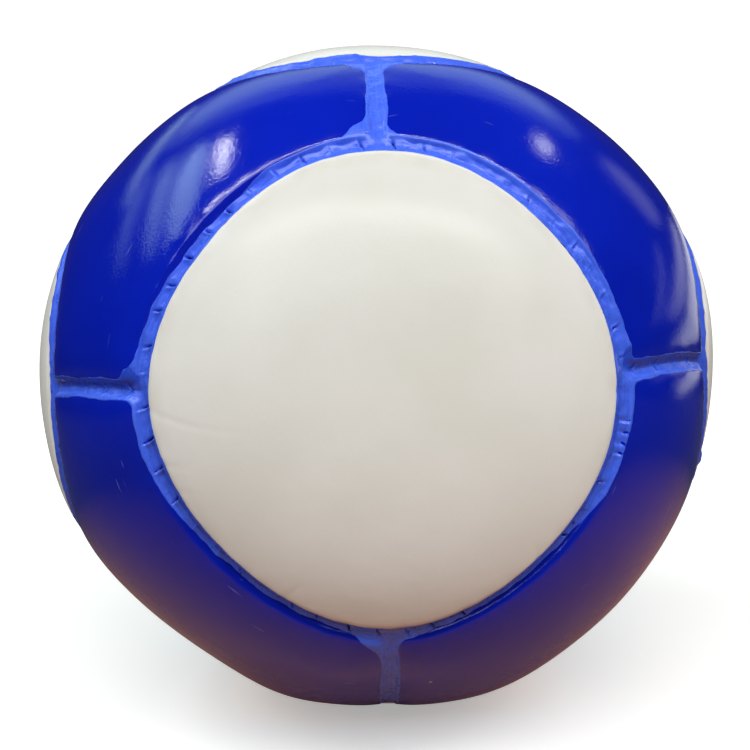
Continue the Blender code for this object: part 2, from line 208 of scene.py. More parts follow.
paper, tree, shader = new_finish("pale_paper")
path = tree.nodes.new("ShaderNodeLightPath")
mirrored = add_node(tree, "ShaderNodeMath", {0: path.outputs["Is Glossy Ray"], 1: MIRRORED_SHARE},
                    operation="MULTIPLY")
seen = add_node(tree, "ShaderNodeMath", {0: path.outputs["Is Camera Ray"],
                                         1: path.outputs["Is Transmission Ray"]},
                operation="MAXIMUM")
seen = add_node(tree, "ShaderNodeMath", {0: seen.outputs[0], 1: mirrored.outputs[0]},
                operation="MAXIMUM")
place = tree.nodes.new("ShaderNodeTexCoord")
away = add_node(tree, "ShaderNodeVectorMath", {0: place.outputs["Object"]}, operation="LENGTH")
glow = add_node(tree, "ShaderNodeMapRange",
                {"Value": away.outputs["Value"],
                 "From Min": GLOW_RANGE[0], "From Max": GLOW_RANGE[1],
                 "To Min": GLOW_STRENGTHS[0], "To Max": GLOW_STRENGTHS[1]},
                interpolation_type="SMOOTHSTEP")
off = add_node(tree, "ShaderNodeVectorMath", {0: place.outputs["Object"], 1: LIT_MIDDLE},
               operation="DISTANCE")
dusk = add_node(tree, "ShaderNodeMapRange", {"Value": off.outputs["Value"],
                                             "From Min": WARM_RANGE[0], "From Max": WARM_RANGE[1]})
shade = add_node(tree, "ShaderNodeMix", {0: dusk.outputs["Result"], 6: WARM_PAPER, 7: DARK_PAPER},
                 data_type="RGBA")
tone = add_node(tree, "ShaderNodeMix", {0: seen.outputs[0], 6: shade.outputs[2], 7: SEEN_PAPER},
                data_type="RGBA")
lift = add_node(tree, "ShaderNodeMath", {0: glow.outputs["Result"], 1: seen.outputs[0]},
                operation="MULTIPLY")
tree.links.new(tone.outputs[2], shader.inputs["Base Color"])
tree.links.new(lift.outputs[0], shader.inputs["Emission Strength"])
shader.inputs["Emission Color"].default_value = (1, 1, 1, 1)
shader.inputs["Roughness"].default_value = PAPER_ROUGHNESS
floor.data.materials.append(paper)
print("pale paper:", len(tree.nodes), "nodes")

# %% [markdown]
# Lamps
#
# A glossy ball is a map of its room: each highlight shows where a lamp hangs. One wide lamp, in
# front and above, gives the panels their light, and a long thin tube above it draws the sheen
# across the front panel. The two window-like lights on the blue panels are narrow lamps, high on
# the left and on the right. The long dim ones beside them, called curtains here, spread a haze over
# the outer blue. Two large dim ones overhead draw the pale band along the upper edge of the ball,
# and a small one fills the back. One helper turns each lamp to face the ball.

# %% Lamps
UP = (0, 0, 1)
WHITE = (1, 1, 1)
COOL = (0.66, 0.97, 1.0)
CURTAIN_DISTANCE = 1.2


def hang_lamp(name, towards, upright, distance, size, watts, shape="RECTANGLE", tint=WHITE):
    """A soft lamp in a direction from the ball, with its height turned to the upright line."""
    bpy.ops.object.light_add(type="AREA")
    lamp = bpy.context.object
    lamp.name = name
    lamp.data.shape = shape
    lamp.data.color = tint
    lamp.data.size, lamp.data.size_y = size
    lamp.data.energy = watts
    out = Vector(towards).normalized()
    side = Vector(upright).cross(out).normalized()
    lamp.matrix_world = Matrix((side, out.cross(side), out)).transposed().to_4x4()
    lamp.location = out * distance


hang_lamp("front_lamp", (0.08, -0.74, 0.67), UP, 1.3, (2.6, 0.65), 16.7)
hang_lamp("ceiling_tube", (-0.05, -0.575, 0.815), UP, 1.34, (2.1, 0.05), 10.2)
hang_lamp("left_window", (-0.554, -0.017, 0.832), (0.268, 0.946, 0.185), 1.1, (0.06, 0.38), 0.85,
          "ELLIPSE")
hang_lamp("right_window", (0.623, 0.135, 0.771), (-0.267, 0.963, 0.036), 1.1, (0.055, 0.15), 0.15,
          "ELLIPSE")
hang_lamp("overhead_lamp", (0.02, 0.60, 0.80), UP, 1.2, (1.5, 0.40), 0.6, "ELLIPSE", COOL)
hang_lamp("back_fill", (0, 0.97, 0.24), UP, 1.4, (0.5, 0.4), 3.0)
hang_lamp("overhead_glow", (0.02, 0.56, 0.83), UP, 1.2, (1.8, 0.75), 0.85, "ELLIPSE", COOL)
for name, towards, upright, size, watts in (
    ("left_curtain_1", (-0.706, -0.039, 0.707), (0.345, 0.873, 0.343), (0.19, 0.80), 1.15),
    ("left_curtain_2", (-0.775, 0.083, 0.626), (0.413, 0.841, 0.349), (0.08, 0.72), 0.30),
    ("left_curtain_3", (-0.813, 0.225, 0.537), (0.537, 0.707, 0.459), (0.07, 0.60), 0.09),
    ("left_curtain_4", (-0.582, 0.563, 0.587), (0.802, 0.598, -0.013), (0.09, 0.69), 0.13),
    ("right_curtain_1", (0.742, 0.446, 0.501), (-0.529, -0.065, 0.846), (0.22, 0.30), 0.06),
    ("right_curtain_2", (0.868, 0.447, 0.216), (-0.586, 0.746, 0.317), (0.12, 0.75), 0.16),
    ("right_curtain_3", (0.954, 0.172, 0.244), (-0.314, 0.636, 0.705), (0.07, 0.50), 0.04),
    ("right_curtain_4", (0.80, 0.59, 0.10), (-0.60, 0.72, 0.34), (0.20, 1.0), 0.56),
):
    tint = COOL if "left" in name else WHITE
    hang_lamp(name, towards, upright, CURTAIN_DISTANCE, size, watts, "ELLIPSE", tint)

# %% [markdown]
# The room's own light
#
# The background has to look white, but a white room would light the ball from all sides and wash
# its colours out. So the world asks what kind of ray is looking: the camera sees it pale, and all
# other light gets only a faint glow from it.

# %% World
ROOM_GLOW = 0.014
ROOM_COLOUR = light_of(252, 252, 252)

world = bpy.data.worlds.new("studio")
bpy.context.scene.world = world
world.use_nodes = True
tree = world.node_tree
path = tree.nodes.new("ShaderNodeLightPath")
shown = add_node(tree, "ShaderNodeMath", {0: path.outputs["Is Camera Ray"],
                                          1: path.outputs["Is Transmission Ray"]},
                 operation="MAXIMUM")
strength = add_node(tree, "ShaderNodeMapRange", {"Value": shown.outputs[0],
                                                 "To Min": ROOM_GLOW, "To Max": 1.0})
tree.nodes["Background"].inputs["Color"].default_value = ROOM_COLOUR
tree.links.new(strength.outputs["Result"], tree.nodes["Background"].inputs["Strength"])
print("the room glows at", ROOM_GLOW, "of white")

# %% [markdown]
# Where the seams run
#
# A seam is a line on the ball, so a point on it is best written as a direction from the middle.
# A ring seam is nearly a circle round one of the six sides. It is drawn out a little at its four
# junctions, where the short seams pull on it. A short seam runs straight from one ring to the next.
# Directions at an inset from the seam give the rows of points that each panel is made of. Where
# two insets meet in a corner has no plain formula, so it is found in a few rounds of guessing.

# %% Seam lines
CORNER_ROUNDS = 6


def unit(vectors):
    """Vectors made one long."""
    return vectors / np.linalg.norm(vectors, axis=-1, keepdims=True)


def on_ring(azimuth, inset):
    """Directions on the top ring seam, moved by an inset towards its round panel."""
    azimuth = np.asarray(azimuth, float)
    polar = RING_ANGLE + (RING_SQUARENESS * np.cos(4 * azimuth) - inset) / SEAM_RADIUS
    across = np.sin(polar)
    return np.stack([across * np.cos(azimuth), across * np.sin(azimuth), np.cos(polar)], -1)


def by_short_seam(turns, inset):
    """Directions beside the short seam that runs from the top ring to the one at +Y."""
    lift = inset / SEAM_RADIUS
    flat = math.cos(lift)
    beside = np.full_like(turns, math.sin(lift))
    return np.stack([beside, flat * np.sin(turns), flat * np.cos(turns)], -1)


def ring_corner(inset):
    """The azimuth at which a three-armed panel's drawn-in ring edge meets its short edge."""
    azimuth = 0.0
    for _ in range(CORNER_ROUNDS):
        across = np.linalg.norm(on_ring(azimuth, -inset)[:2])
        azimuth = math.asin(math.sin(inset / SEAM_RADIUS) / across)
    return azimuth


def ring_edge(inset, shares):
    """A three-armed panel's edge along the top ring, at shares of the way between its corners."""
    start = ring_corner(inset)
    return on_ring(start + (QUARTER - 2 * start) * shares, -inset)


def toward(middle, outline, share):
    """Directions a share of the way from a panel's middle to its outline."""
    angle = np.arccos(np.clip(outline @ middle, -1, 1))[:, None]
    return (np.sin((1 - share) * angle) * middle + np.sin(share * angle) * outline) / np.sin(angle)


print("a ring seam is", round(RING_STITCHES * STITCH_PITCH / MM), "mm long")

# %% [markdown]
# How far a point is from a seam
#
# The skin sinks towards each seam, so its height depends on the distance to the nearest one. In a
# corner two seams are near at once. Taking the plain smaller distance would leave a hard ridge
# there, which a glossy skin shows at once, so the distances are melted into each other instead.

# %% Distance to the seams
MELT = 0.7 * MM
TINY = 1e-12


def ring_distances(directions):
    """Distance to the ring seam of each axis, positive outside its round panel."""
    found = []
    for axis in range(3):
        u, v = (directions[..., i] for i in range(3) if i != axis)
        flat = np.maximum(u ** 2 + v ** 2, TINY)
        cos_four = 1 - 8 * (u * v / flat) ** 2
        polar = np.arctan2(np.sqrt(flat), np.abs(directions[..., axis]))
        found.append(SEAM_RADIUS * (polar - RING_ANGLE) - RING_SQUARENESS * cos_four)
    return np.stack(found, -1)


def short_distances(directions):
    """Distance to the three planes that the short seams lie in."""
    return SEAM_RADIUS * np.arcsin(np.clip(np.abs(directions), 0, 1))


def seam_distance(directions, is_round):
    """Distance from a panel's own seams, melted together in its corners."""
    rings = ring_distances(directions)
    if is_round:
        return -rings.min(-1)
    both = np.concatenate([rings, short_distances(directions)], -1)
    return -MELT * np.log(np.exp(-np.clip(both, -SEAM_DEPTH, None) / MELT).sum(-1))


print("a panel's corner is melted over", MELT / MM, "mm")

# %% [markdown]
# Hand-made unevenness
#
# No hand-sewn ball is a true sphere. It is a little wider than it is tall, a panel sits a degree or
# two off its place, one side is pressed flat, and the skin has low, broad hills. At the front, the
# bottom ring is drawn back much further than that, under the ball. The hills are made by adding up
# a few sine waves, whose directions come from a fixed seed: that is smooth at every scale, and the
# same on every run. The cover, the paint and the pieces inside all go through the same uneven
# shape, so nothing comes apart. The valve needn't, because the ball is even around it.

# %% Hills and the uneven shape
WAVES = 14
STRETCH = np.array((1.0075, 1.0, 0.9925))
FRONT_STRETCH = np.array((-0.042, 0.0, 0.045))
FRONT_REACH = math.radians(48)
TURNED_PLACES = (
    ((0, -0.55, 0.84), (1, 0, 0), math.radians(-0.6), math.radians(18)),
    ((0, -0.55, -0.84), (1, 0, 0), math.radians(12.2), math.radians(16)),
    ((-0.30, -0.46, -0.84), (1, 0, 0), math.radians(7), math.radians(14)),
    ((0.30, -0.46, -0.84), (1, 0, 0), math.radians(7), math.radians(14)),
    ((-0.84, -0.55, 0), (0, 0, 1), math.radians(-3.0), math.radians(18)),
    ((1, 0, 0), (0, 0, 1), math.radians(1.8), math.radians(40)),
    ((0.82, -0.53, -0.24), (0, 0, 1), math.radians(4.0), math.radians(16)),
    ((-0.71, -0.71, 0), (0, 1, 0), math.radians(1.45), math.radians(22)),
    ((0.71, -0.71, 0), (0, 1, 0), math.radians(-3.1), math.radians(22)),
    ((0, -1, 0), (1, 0, 0), math.radians(-0.3), math.radians(40)),
    ((0, -1, 0), (0, 0, 1), math.radians(-0.4), math.radians(40)),
)
BULGES = (
    ((-0.62, -0.37, -0.69), -1.9 * MM, math.radians(24)),
    ((0.87, -0.37, 0.32), 1.8 * MM, math.radians(18)),
    ((0.08, -0.37, -0.92), 0.7 * MM, math.radians(25)),
    ((0, 0.3, -0.95), 0.8 * MM, math.radians(28)),
    ((-0.29, -0.37, -0.88), 1.1 * MM, math.radians(9)),
    ((0.32, -0.37, -0.87), 1.1 * MM, math.radians(11)),
    ((-0.84, -0.37, -0.39), 1.0 * MM, math.radians(12)),
    ((0.87, -0.37, -0.32), 0.6 * MM, math.radians(12)),
    ((-0.65, -0.37, 0.66), -0.7 * MM, math.radians(14)),
    ((-0.90, -0.37, 0.22), 0.3 * MM, math.radians(10)),
    ((-0.80, -0.37, 0.46), 0.8 * MM, math.radians(9)),
)


def hills(points, spacing, height, seed):
    """Smooth hills of about one height and one spacing."""
    draw = np.random.default_rng(seed)
    waves = unit(draw.normal(size=(WAVES, 3))) * math.tau / spacing
    starts = draw.uniform(0, math.tau, WAVES)
    return height * np.sin(points @ waves.T + starts).sum(-1) / math.sqrt(WAVES)


def nearness(points, place, reach):
    """1 at a place on the ball, falling off smoothly with the angle from it."""
    angle = np.arccos(np.clip(unit(points) @ unit(np.array(place, float)), -1, 1))
    return np.exp(-(angle / reach) ** 2)[..., None]


def uneven(points):
    """Points of an even ball, carried to the hand-made one."""
    for place, axis, most, reach in TURNED_PLACES:
        angle = most * nearness(points, place, reach)
        along = (points @ np.array(axis, float))[..., None] * np.array(axis, float)
        points = along + (points - along) * np.cos(angle) + np.cross(axis, points) * np.sin(angle)
    drawn = points * (1 + FRONT_STRETCH * nearness(points, (0, -1, 0), FRONT_REACH))
    points = unit(drawn) * np.linalg.norm(points, axis=-1, keepdims=True)
    swell = sum(rise * nearness(points, place, reach) for place, rise, reach in BULGES)
    points = points * (1 + swell / BALL_RADIUS) * STRETCH
    points[..., 2] = np.maximum(points[..., 2], REST_LEVEL)
    return points


print("the ball is", round(100 * (STRETCH[0] / STRETCH[2] - 1), 1), "percent wider than it is tall")

# %% [markdown]
# Stitches
#
# A needle has gone through the hems 48 times round each ring. Each stitch draws the fold in a
# little, which makes the lights along the seam ripple. To place them, a point needs to know how far
# along its seam it lies, counted in stitches.

# %% Place along the seams
OTHER_AXES = np.array([[1, 2], [0, 2], [0, 1]])


def other_two(directions, axis):
    """The two coordinates of each direction that aren't along its given axis."""
    pairs = np.take_along_axis(directions, OTHER_AXES[axis], -1)
    return pairs[..., 0], pairs[..., 1]


def stitch_count(directions):
    """How many stitches along the nearest ring seam, and along the nearest short seam."""
    u, v = other_two(directions, np.abs(directions).argmax(-1))
    ring = np.arctan2(v, u) / math.tau * RING_STITCHES
    u, v = other_two(directions, np.abs(directions).argmin(-1))
    turn = np.arctan2(np.abs(u), np.abs(v)) - RING_ANGLE
    return ring, turn / (QUARTER - 2 * RING_ANGLE) * SHORT_STITCHES


def stitch_draw(directions, seed):
    """A number from 0 to 1 for each stitch of the ring seams, as no two come out alike."""
    axis = np.abs(directions).argmax(-1)
    ahead = np.take_along_axis(directions, axis[..., None], -1)[..., 0] > 0
    stitch = np.floor(stitch_count(directions)[0]).astype(int) % RING_STITCHES
    numbers = np.random.default_rng(seed).uniform(size=(3, 2, RING_STITCHES))
    return numbers[axis, ahead.astype(int), stitch]


def pull(count):
    """1 at a stitch, which lies half way between whole counts, and 0 between two stitches."""
    return 0.5 - 0.5 * np.cos(math.tau * count)


print("a short seam has", SHORT_STITCHES, "stitches")

# %% [markdown]
# The fold of a panel
#
# From its crown a panel drops gently towards the seam, then rolls over in a quarter of an ellipse
# and goes straight down as a hem. The same formula places the skin and the paint that lies on it,
# so they can't drift apart.

# %% Depth of the skin
HEM_FACE = 0.75 * MM
HEM_DEPTH = 4.0 * MM
COVER_THICKNESS = 1.2 * MM
ROUND_FOLD = 3.0 * MM
ARM_FOLD = 1.35 * MM
PILLOW_DEPTH = 0.9 * MM
PILLOW_REACH = 9.0 * MM
LIP_DEPTH = 0.36 * MM
LIP_REACH = 1.8 * MM
HILL_SPACING = 46.0 * MM
HILL_HEIGHT = 0.16 * MM
DIMPLE_DEPTH = 0.14 * MM
DIMPLE_REACH = 2.6 * MM
LEAST_DIMPLE = 0.4
DIMPLE_RANGE = 1.2


def skin_depth(directions, is_round):
    """How far the skin lies below the ball's full radius."""
    distance = seam_distance(directions, is_round)
    width = ROUND_FOLD if is_round else ARM_FOLD
    share = np.clip((distance - HEM_FACE) / width, 0, 1)
    inside = np.maximum(distance - HEM_FACE, 0)
    lip = 0 if is_round else LIP_DEPTH
    fold = (SEAM_DEPTH - PILLOW_DEPTH - lip) * (1 - np.sqrt(1 - (1 - share) ** 2))
    pillow = PILLOW_DEPTH * np.exp(-inside / PILLOW_REACH) + lip * np.exp(-inside / LIP_REACH)
    ring, short = stitch_count(directions)
    dimples = pull(ring) * np.exp(-(ring_distances(directions).min(-1) / DIMPLE_REACH) ** 2)
    dimples *= LEAST_DIMPLE + DIMPLE_RANGE * stitch_draw(directions, seed=2)
    if not is_round:
        dimples += pull(short) * np.exp(-(short_distances(directions).min(-1) / DIMPLE_REACH) ** 2)
    lumps = hills(directions * BALL_RADIUS, HILL_SPACING, HILL_HEIGHT, seed=3)
    return fold + pillow + DIMPLE_DEPTH * dimples + HILL_HEIGHT - lumps


print(f"a seam is {SEAM_DEPTH / MM} mm deep and its fold up to {ROUND_FOLD / MM} mm wide")

# %% [markdown]
# A sheet wrapped from a grid
#
# Each panel could be cut from a sphere, but then its points would cross the fold at every angle,
# and the gloss would show it. Instead, one of Blender's grids is wrapped like a sheet of paper: its
# columns go round the panel and its rows go from the middle of the outside, over the fold, down and
# round the hem, and back to the middle of the inside. Where the sheet's ends meet, they are merged.

# %% Wrapping a grid
MERGE = 0.002 * MM


def wrap_grid(name, points, marks=None):
    """A grid whose vertices are moved to the given rows and columns of points."""
    rows, columns = points.shape[:2]
    bpy.ops.object.select_all(action="DESELECT")
    bpy.ops.mesh.primitive_grid_add(x_subdivisions=columns - 1, y_subdivisions=rows - 1, size=1)
    sheet = bpy.context.object
    sheet.name = name
    sheet.data.name = name
    sheet.data.vertices.foreach_set("co", uneven(points).reshape(-1).astype(np.float32))
    for mark, values in (marks or {}).items():
        layer = sheet.data.attributes.new(mark, "FLOAT", "POINT")
        layer.data.foreach_set("value", values.reshape(-1).astype(np.float32))
    sheet.data.update()
    return sheet


def close_sheet(sheet):
    """Merge the sheet's meeting edges, fill its open ends, point its faces out, shade it smooth."""
    bpy.ops.object.mode_set(mode="EDIT")
    bpy.ops.mesh.select_mode(type="VERT")
    bpy.ops.mesh.select_all(action="SELECT")
    bpy.ops.mesh.remove_doubles(threshold=MERGE)
    bpy.ops.mesh.fill_holes(sides=0)
    bpy.ops.mesh.select_all(action="SELECT")
    bpy.ops.mesh.normals_make_consistent(inside=False)
    bpy.ops.object.mode_set(mode="OBJECT")
    bpy.ops.object.shade_smooth()
    return sheet


print("edges closer than", MERGE / MM, "mm are merged")

# %% [markdown]
# Rows of a panel
#
# The fold is the part that catches the light, so its rows lie close together. The crown of the
# panel is almost flat and needs few. The hem and the inside are never seen, and get fewest. Each
# point also keeps its distance from the seam as a mark, which darkens the ivory near the seams.

# %% Rows from the middle to the hem and back
FOLD_ROWS = 14
SHOULDER_ROWS = 8
CROWN_ROWS = 22
INSIDE_ROWS = 5
SHOULDER_INSET = 12.0 * MM
HEM_FOOT = SEAM_DEPTH + HEM_DEPTH
HEM_INSIDE = HEM_FACE + COVER_THICKNESS

fold_insets = HEM_FACE + ROUND_FOLD * (1 - np.cos(np.linspace(0, QUARTER, FOLD_ROWS)))
shoulder_insets = np.linspace(fold_insets[-1], SHOULDER_INSET, SHOULDER_ROWS + 1)[1:]
edge_insets = np.concatenate([fold_insets, shoulder_insets])[::-1]


def lay_panel(name, outline, middle, turn, is_round, hole=0.0, extra=None):
    """A closed panel, from the middle of its outside to the middle of its inside."""
    rim = outline(SHOULDER_INSET)
    first = hole / BALL_RADIUS / np.arccos(rim @ middle).mean()
    crown = [toward(middle, rim, s) for s in np.linspace(first, 1, CROWN_ROWS, endpoint=False)]
    outside = turn(np.stack(crown + [outline(inset) for inset in edge_insets]))
    depth = skin_depth(outside, is_round)
    if extra:
        depth += extra(seam_distance(outside, is_round))
    inside = [toward(middle, rim, s) for s in np.linspace(1, first, INSIDE_ROWS)]
    under = turn(np.stack([outline(HEM_INSIDE)] + inside))
    hem = turn(np.stack([outline(HEM_FACE), outline(HEM_INSIDE)])) * (BALL_RADIUS - HEM_FOOT)
    under_depth = skin_depth(under, is_round) + COVER_THICKNESS
    points = np.concatenate([
        outside * (BALL_RADIUS - depth)[..., None],
        hem,
        under * (BALL_RADIUS - under_depth)[..., None],
    ])
    if hole:
        points = np.concatenate([points, points[:1]])
    points = np.concatenate([points, points[:, :1]], axis=1)
    worn = seam_distance(unit(points), is_round) / MM
    return close_sheet(wrap_grid(name, points, {"from_seam": worn}))


print("rows on a panel's outside:", CROWN_ROWS + len(edge_insets))

# %% [markdown]
# The six round panels
#
# One formula makes all six. Only the turn from the top of the ball to each side differs, and the
# hills, which belong to the place on the ball, so no two panels come out alike. The thread draws a
# few fine creases into the edge of each one: on the front panel their places are listed and they
# run in at a slant, and elsewhere they are drawn from a seed. The back panel has a hole in its
# middle for the valve, with a rounded rim.

# %% Round panels
COLUMNS_PER_STITCH = 10
RING_COLUMNS = RING_STITCHES * COLUMNS_PER_STITCH
ring_azimuths = np.linspace(0, math.tau, RING_COLUMNS, endpoint=False)
VALVE_HOLE = 4.8 * MM
RIM_ROUND = 0.9 * MM
RIM_DROP = 0.7 * MM
CREASES = 9
CREASE_DEPTH = 0.09 * MM
CREASE_SEED = 40
# reaches are in millimetres, and places on the front ring in degrees
CREASE_REACHES = (7, 24)
FRONT_CREASES = ((267, 22), (254, 8), (247, 6), (95, 7), (140, 8), (210, 9), (318, 8))
FRONT_SLANT = 0.4
CREASE_WIDTH = 0.55 * MM
SIDES = {
    "top": ((0, 1, 2), 1),
    "bottom": ((0, 1, 2), -1),
    "right": ((2, 0, 1), 1),
    "left": ((2, 0, 1), -1),
    "back": ((1, 2, 0), 1),
    "front": ((1, 2, 0), -1),
}


def side_turn(side):
    """A function that carries directions from the top of the ball to one of its sides."""
    order, sign = SIDES[side]
    return lambda directions: (directions * (1, 1, sign))[..., list(order)]


def round_outline(inset):
    """Directions round the top panel, at an inset from its seam."""
    return on_ring(ring_azimuths, inset)


def creases(side):
    """Fine creases that run in from a round panel's edge, and the dip of the valve's rim."""
    draw = np.random.default_rng(CREASE_SEED + list(SIDES).index(side))
    places = draw.uniform(0, math.tau, CREASES)
    reaches = draw.uniform(*CREASE_REACHES, CREASES) * MM
    slant = 0.0
    if side == "front":
        places, reaches = np.array(FRONT_CREASES).T * ((math.radians(1),), (MM,))
        slant = FRONT_SLANT

    def depth(distance):
        """How far the creases and the rim sink the skin."""
        total = np.zeros_like(distance)
        for place, reach in zip(places, reaches):
            apart = np.angle(np.exp(1j * (ring_azimuths - place)))
            off = apart * SEAM_RADIUS * math.sin(RING_ANGLE) + slant * distance
            fade = np.clip(1 - distance / reach, 0, 1) ** 0.5
            total += CREASE_DEPTH * np.exp(-(off / CREASE_WIDTH) ** 2) * fade
        if side == "back":
            inner = distance.max() - distance
            total += RIM_DROP * np.exp(-(inner / RIM_ROUND) ** 2)
        return total

    return depth


round_panels = {}
for side in SIDES:
    hole = VALVE_HOLE if side == "back" else 0.0
    round_panels[side] = lay_panel(f"round_skin_{side}", round_outline, np.array((0.0, 0, 1)),
                                   side_turn(side), True, hole, creases(side))
print("round panels:", {s: len(p.data.polygons) for s, p in round_panels.items()})

# %% [markdown]
# The eight three-armed panels
#
# These fill the corners. One is laid out where x, y and z are all positive, and the others are its
# mirror images. A mirrored sheet is inside out until its normals are recalculated, which closing
# the sheet does anyway.

# %% Three-armed panels
SHORT_COLUMNS = SHORT_STITCHES * COLUMNS_PER_STITCH
CORNERS = {
    f"{y}_{z}_{x}": (sx, sy, sz)
    for x, sx in (("right", 1), ("left", -1))
    for y, sy in (("back", 1), ("front", -1))
    for z, sz in (("top", 1), ("bottom", -1))
}


def arm_outline(inset):
    """Directions round the three-armed panel, at an inset from its seams."""
    arc = ring_edge(inset, np.linspace(0, 1, RING_COLUMNS // 4 + 1))
    first = math.atan2(arc[0, 0], arc[0, 2])
    end = by_short_seam(np.linspace(first, QUARTER - first, SHORT_COLUMNS + 1)[1:-1], inset)
    side = np.concatenate([arc, end])
    return np.concatenate([side, side[:, [1, 2, 0]], side[:, [2, 0, 1]]])


arm_panels = {}
for corner, signs in CORNERS.items():
    arm_panels[corner] = lay_panel(f"arm_skin_{corner}", arm_outline, unit(np.ones(3)),
                                   lambda directions: directions * signs, False)
print("three-armed panels:", {c: len(p.data.polygons) for c, p in arm_panels.items()})

# %% [markdown]
# Paint in the seams
#
# The seams are painted last, with a small brush and a steady hand. The coat lies in a groove with
# two walls, and how far it reaches up each wall is what the eye sees first: its edge wanders where
# the brush did, it laps over at some places and is starved at others, and it spreads into a web
# where seams meet. The wander is made of hills again. What the brush did at single places is kept
# in short lists, each with a direction, an amount and how far it spreads.

# %% Width of the coat
ROUND_SIDE_WIDTH = 2.4 * MM
ARM_SIDE_WIDTH = 2.1 * MM
LEAST_WIDTH = 0.85 * MM
DRAWN_EDGE = 0.6 * MM
SCALLOP = 0.16 * MM
COARSE_WANDER = {"spacing": 6 * MM, "height": 0.06 * MM, "seed": 6}
FINE_WANDER = {"spacing": 2.4 * MM, "height": 0.04 * MM, "seed": 9}
ROUND_WANDER = {"spacing": 17 * MM, "height": 0.16 * MM, "seed": 5}
ARM_WANDER = {"spacing": 15 * MM, "height": 0.16 * MM, "seed": 7}
LAPPED_PLACES = (
    ((0, -0.55, 0.84), 0.9 * MM, math.radians(24)),
    ((-0.09, -0.55, 0.83), 2.0 * MM, math.radians(4)),
    ((0.12, -0.55, 0.83), 0.9 * MM, math.radians(5)),
    ((-0.84, -0.55, 0), 0.6 * MM, math.radians(24)),
    ((0.84, -0.52, -0.16), 0.9 * MM, math.radians(24)),
)
ARM_LAPPED_PLACES = (
    ((0, -0.71, 0.71), -0.1 * MM, math.radians(12)),
    ((-0.45, -0.50, 0.74), 0.5 * MM, math.radians(16)),
    ((-0.84, -0.53, -0.20), 0.5 * MM, math.radians(14)),
    ((0, -0.76, -0.65), 0.6 * MM, math.radians(6)),
)
STARVED_PLACES = (
    ((-0.42, -0.83, 0.36), 1.2 * MM, math.radians(15)),
    ((0.38, -0.83, -0.41), 1.4 * MM, math.radians(10)),
    ((0.19, -0.83, -0.53), 1.7 * MM, math.radians(10)),
    ((-0.17, -0.83, -0.53), 1.5 * MM, math.radians(9)),
    ((-0.39, -0.83, -0.39), 1.3 * MM, math.radians(11)),
)
WEB_WIDTH = 1.0 * MM
LEAST_WEB = 0.3 * MM
WEB_SPREAD = 3.6
WEB_WANDER = {"spacing": 70 * MM, "height": 0.8, "seed": 11}
WEB_SHARES = (0.3, 2.4)
WEB_PLACES = (
    ((-0.06, -0.80, 0.60), 2.2 * MM, math.radians(6)),
    ((0.06, -0.80, 0.60), -0.3 * MM, math.radians(4)),
    ((-0.06, -0.60, 0.80), 1.6 * MM, math.radians(4)),
    ((0.06, -0.60, 0.80), 1.2 * MM, math.radians(4)),
    ((-0.06, -0.80, -0.60), 0.6 * MM, math.radians(4)),
    ((0.06, -0.80, -0.60), -1.0 * MM, math.radians(4)),
    ((-0.60, -0.80, 0.06), 1.6 * MM, math.radians(4)),
    ((-0.60, -0.80, -0.06), 0.2 * MM, math.radians(4)),
    ((0.60, -0.80, 0.06), -1.2 * MM, math.radians(6)),
    ((0.60, -0.80, -0.06), -1.6 * MM, math.radians(6)),
)


def spread(seam, places):
    """What the brush left at a few places along the seam."""
    return sum(more * nearness(seam, place, reach)[..., 0] for place, more, reach in places)


def coat_width(seam, beside, is_round):
    """How far the coat reaches up one wall, along the seam line."""
    places = seam * BALL_RADIUS
    rings = np.abs(ring_distances(seam)).min(-1)
    shorts = np.abs(short_distances(seam)).min(-1)
    wander = hills(places, **COARSE_WANDER) + hills(places, **FINE_WANDER)
    if is_round:
        wander += hills(places, **ROUND_WANDER)
        u, v = other_two(seam, np.abs(seam).argmax(-1))
        wander -= DRAWN_EDGE * (1 - 8 * (u * v / (u ** 2 + v ** 2)) ** 2)
        return ROUND_SIDE_WIDTH + wander + spread(seam, LAPPED_PLACES)
    wander += hills(places, **ARM_WANDER)
    wander += SCALLOP * pull(stitch_count(seam)[0]) * stitch_draw(seam, seed=8)
    wander += spread(seam, ARM_LAPPED_PLACES)
    web = WEB_WIDTH * np.clip(1 + hills(places, **WEB_WANDER), *WEB_SHARES)
    web = np.maximum(web + spread(beside, WEB_PLACES), LEAST_WEB)
    fillet = web * np.clip(1 - np.hypot(rings, shorts) / (web * WEB_SPREAD), 0, 1) ** 2
    return np.maximum(ARM_SIDE_WIDTH + wander - spread(seam, STARVED_PLACES), LEAST_WIDTH) + fillet


print("the coat reaches", ROUND_SIDE_WIDTH / MM, "and", ARM_SIDE_WIDTH / MM, "mm up its two walls")

# %% [markdown]
# How deep the coat lies
#
# On a wall the coat is a thin, even layer with a round edge, tucked into the skin. In the groove it
# is a puddle, fuller where the brush left much and lower where it ran dry. The coat's face is the
# higher of the two, melted together where they cross. The walls of level seams that face down lie
# in shade, and the finish darkens the paint there: painted shade.

# %% Depth of the coat
COAT_THICKNESS = 0.14 * MM
COAT_TUCK = 0.07 * MM
EDGE_ROUNDING = 4
TUCK_SHARPNESS = 24
GROOVE_DEPTH = 2.5 * MM
GROOVE_SLOPE = 0.5
GROOVE_BLEND = 0.10 * MM
FILLED_PLACES = ((0, -1, 1), (0, -1, -1), (1, 1, 0), (-1, 0, 1), (-1, 0, -1))
FILLED_REACH = math.radians(16)
FILLED_RISE = 0.7 * MM
FILLED_FLATNESS = 0.8
STARVED_DROP = 0.9 * MM
COAT_LUMPS = {"spacing": 4.5 * MM, "height": 0.17 * MM, "seed": 12}
FINE_LUMPS = {"spacing": 1.9 * MM, "height": 0.17 * MM / 3, "seed": 13}


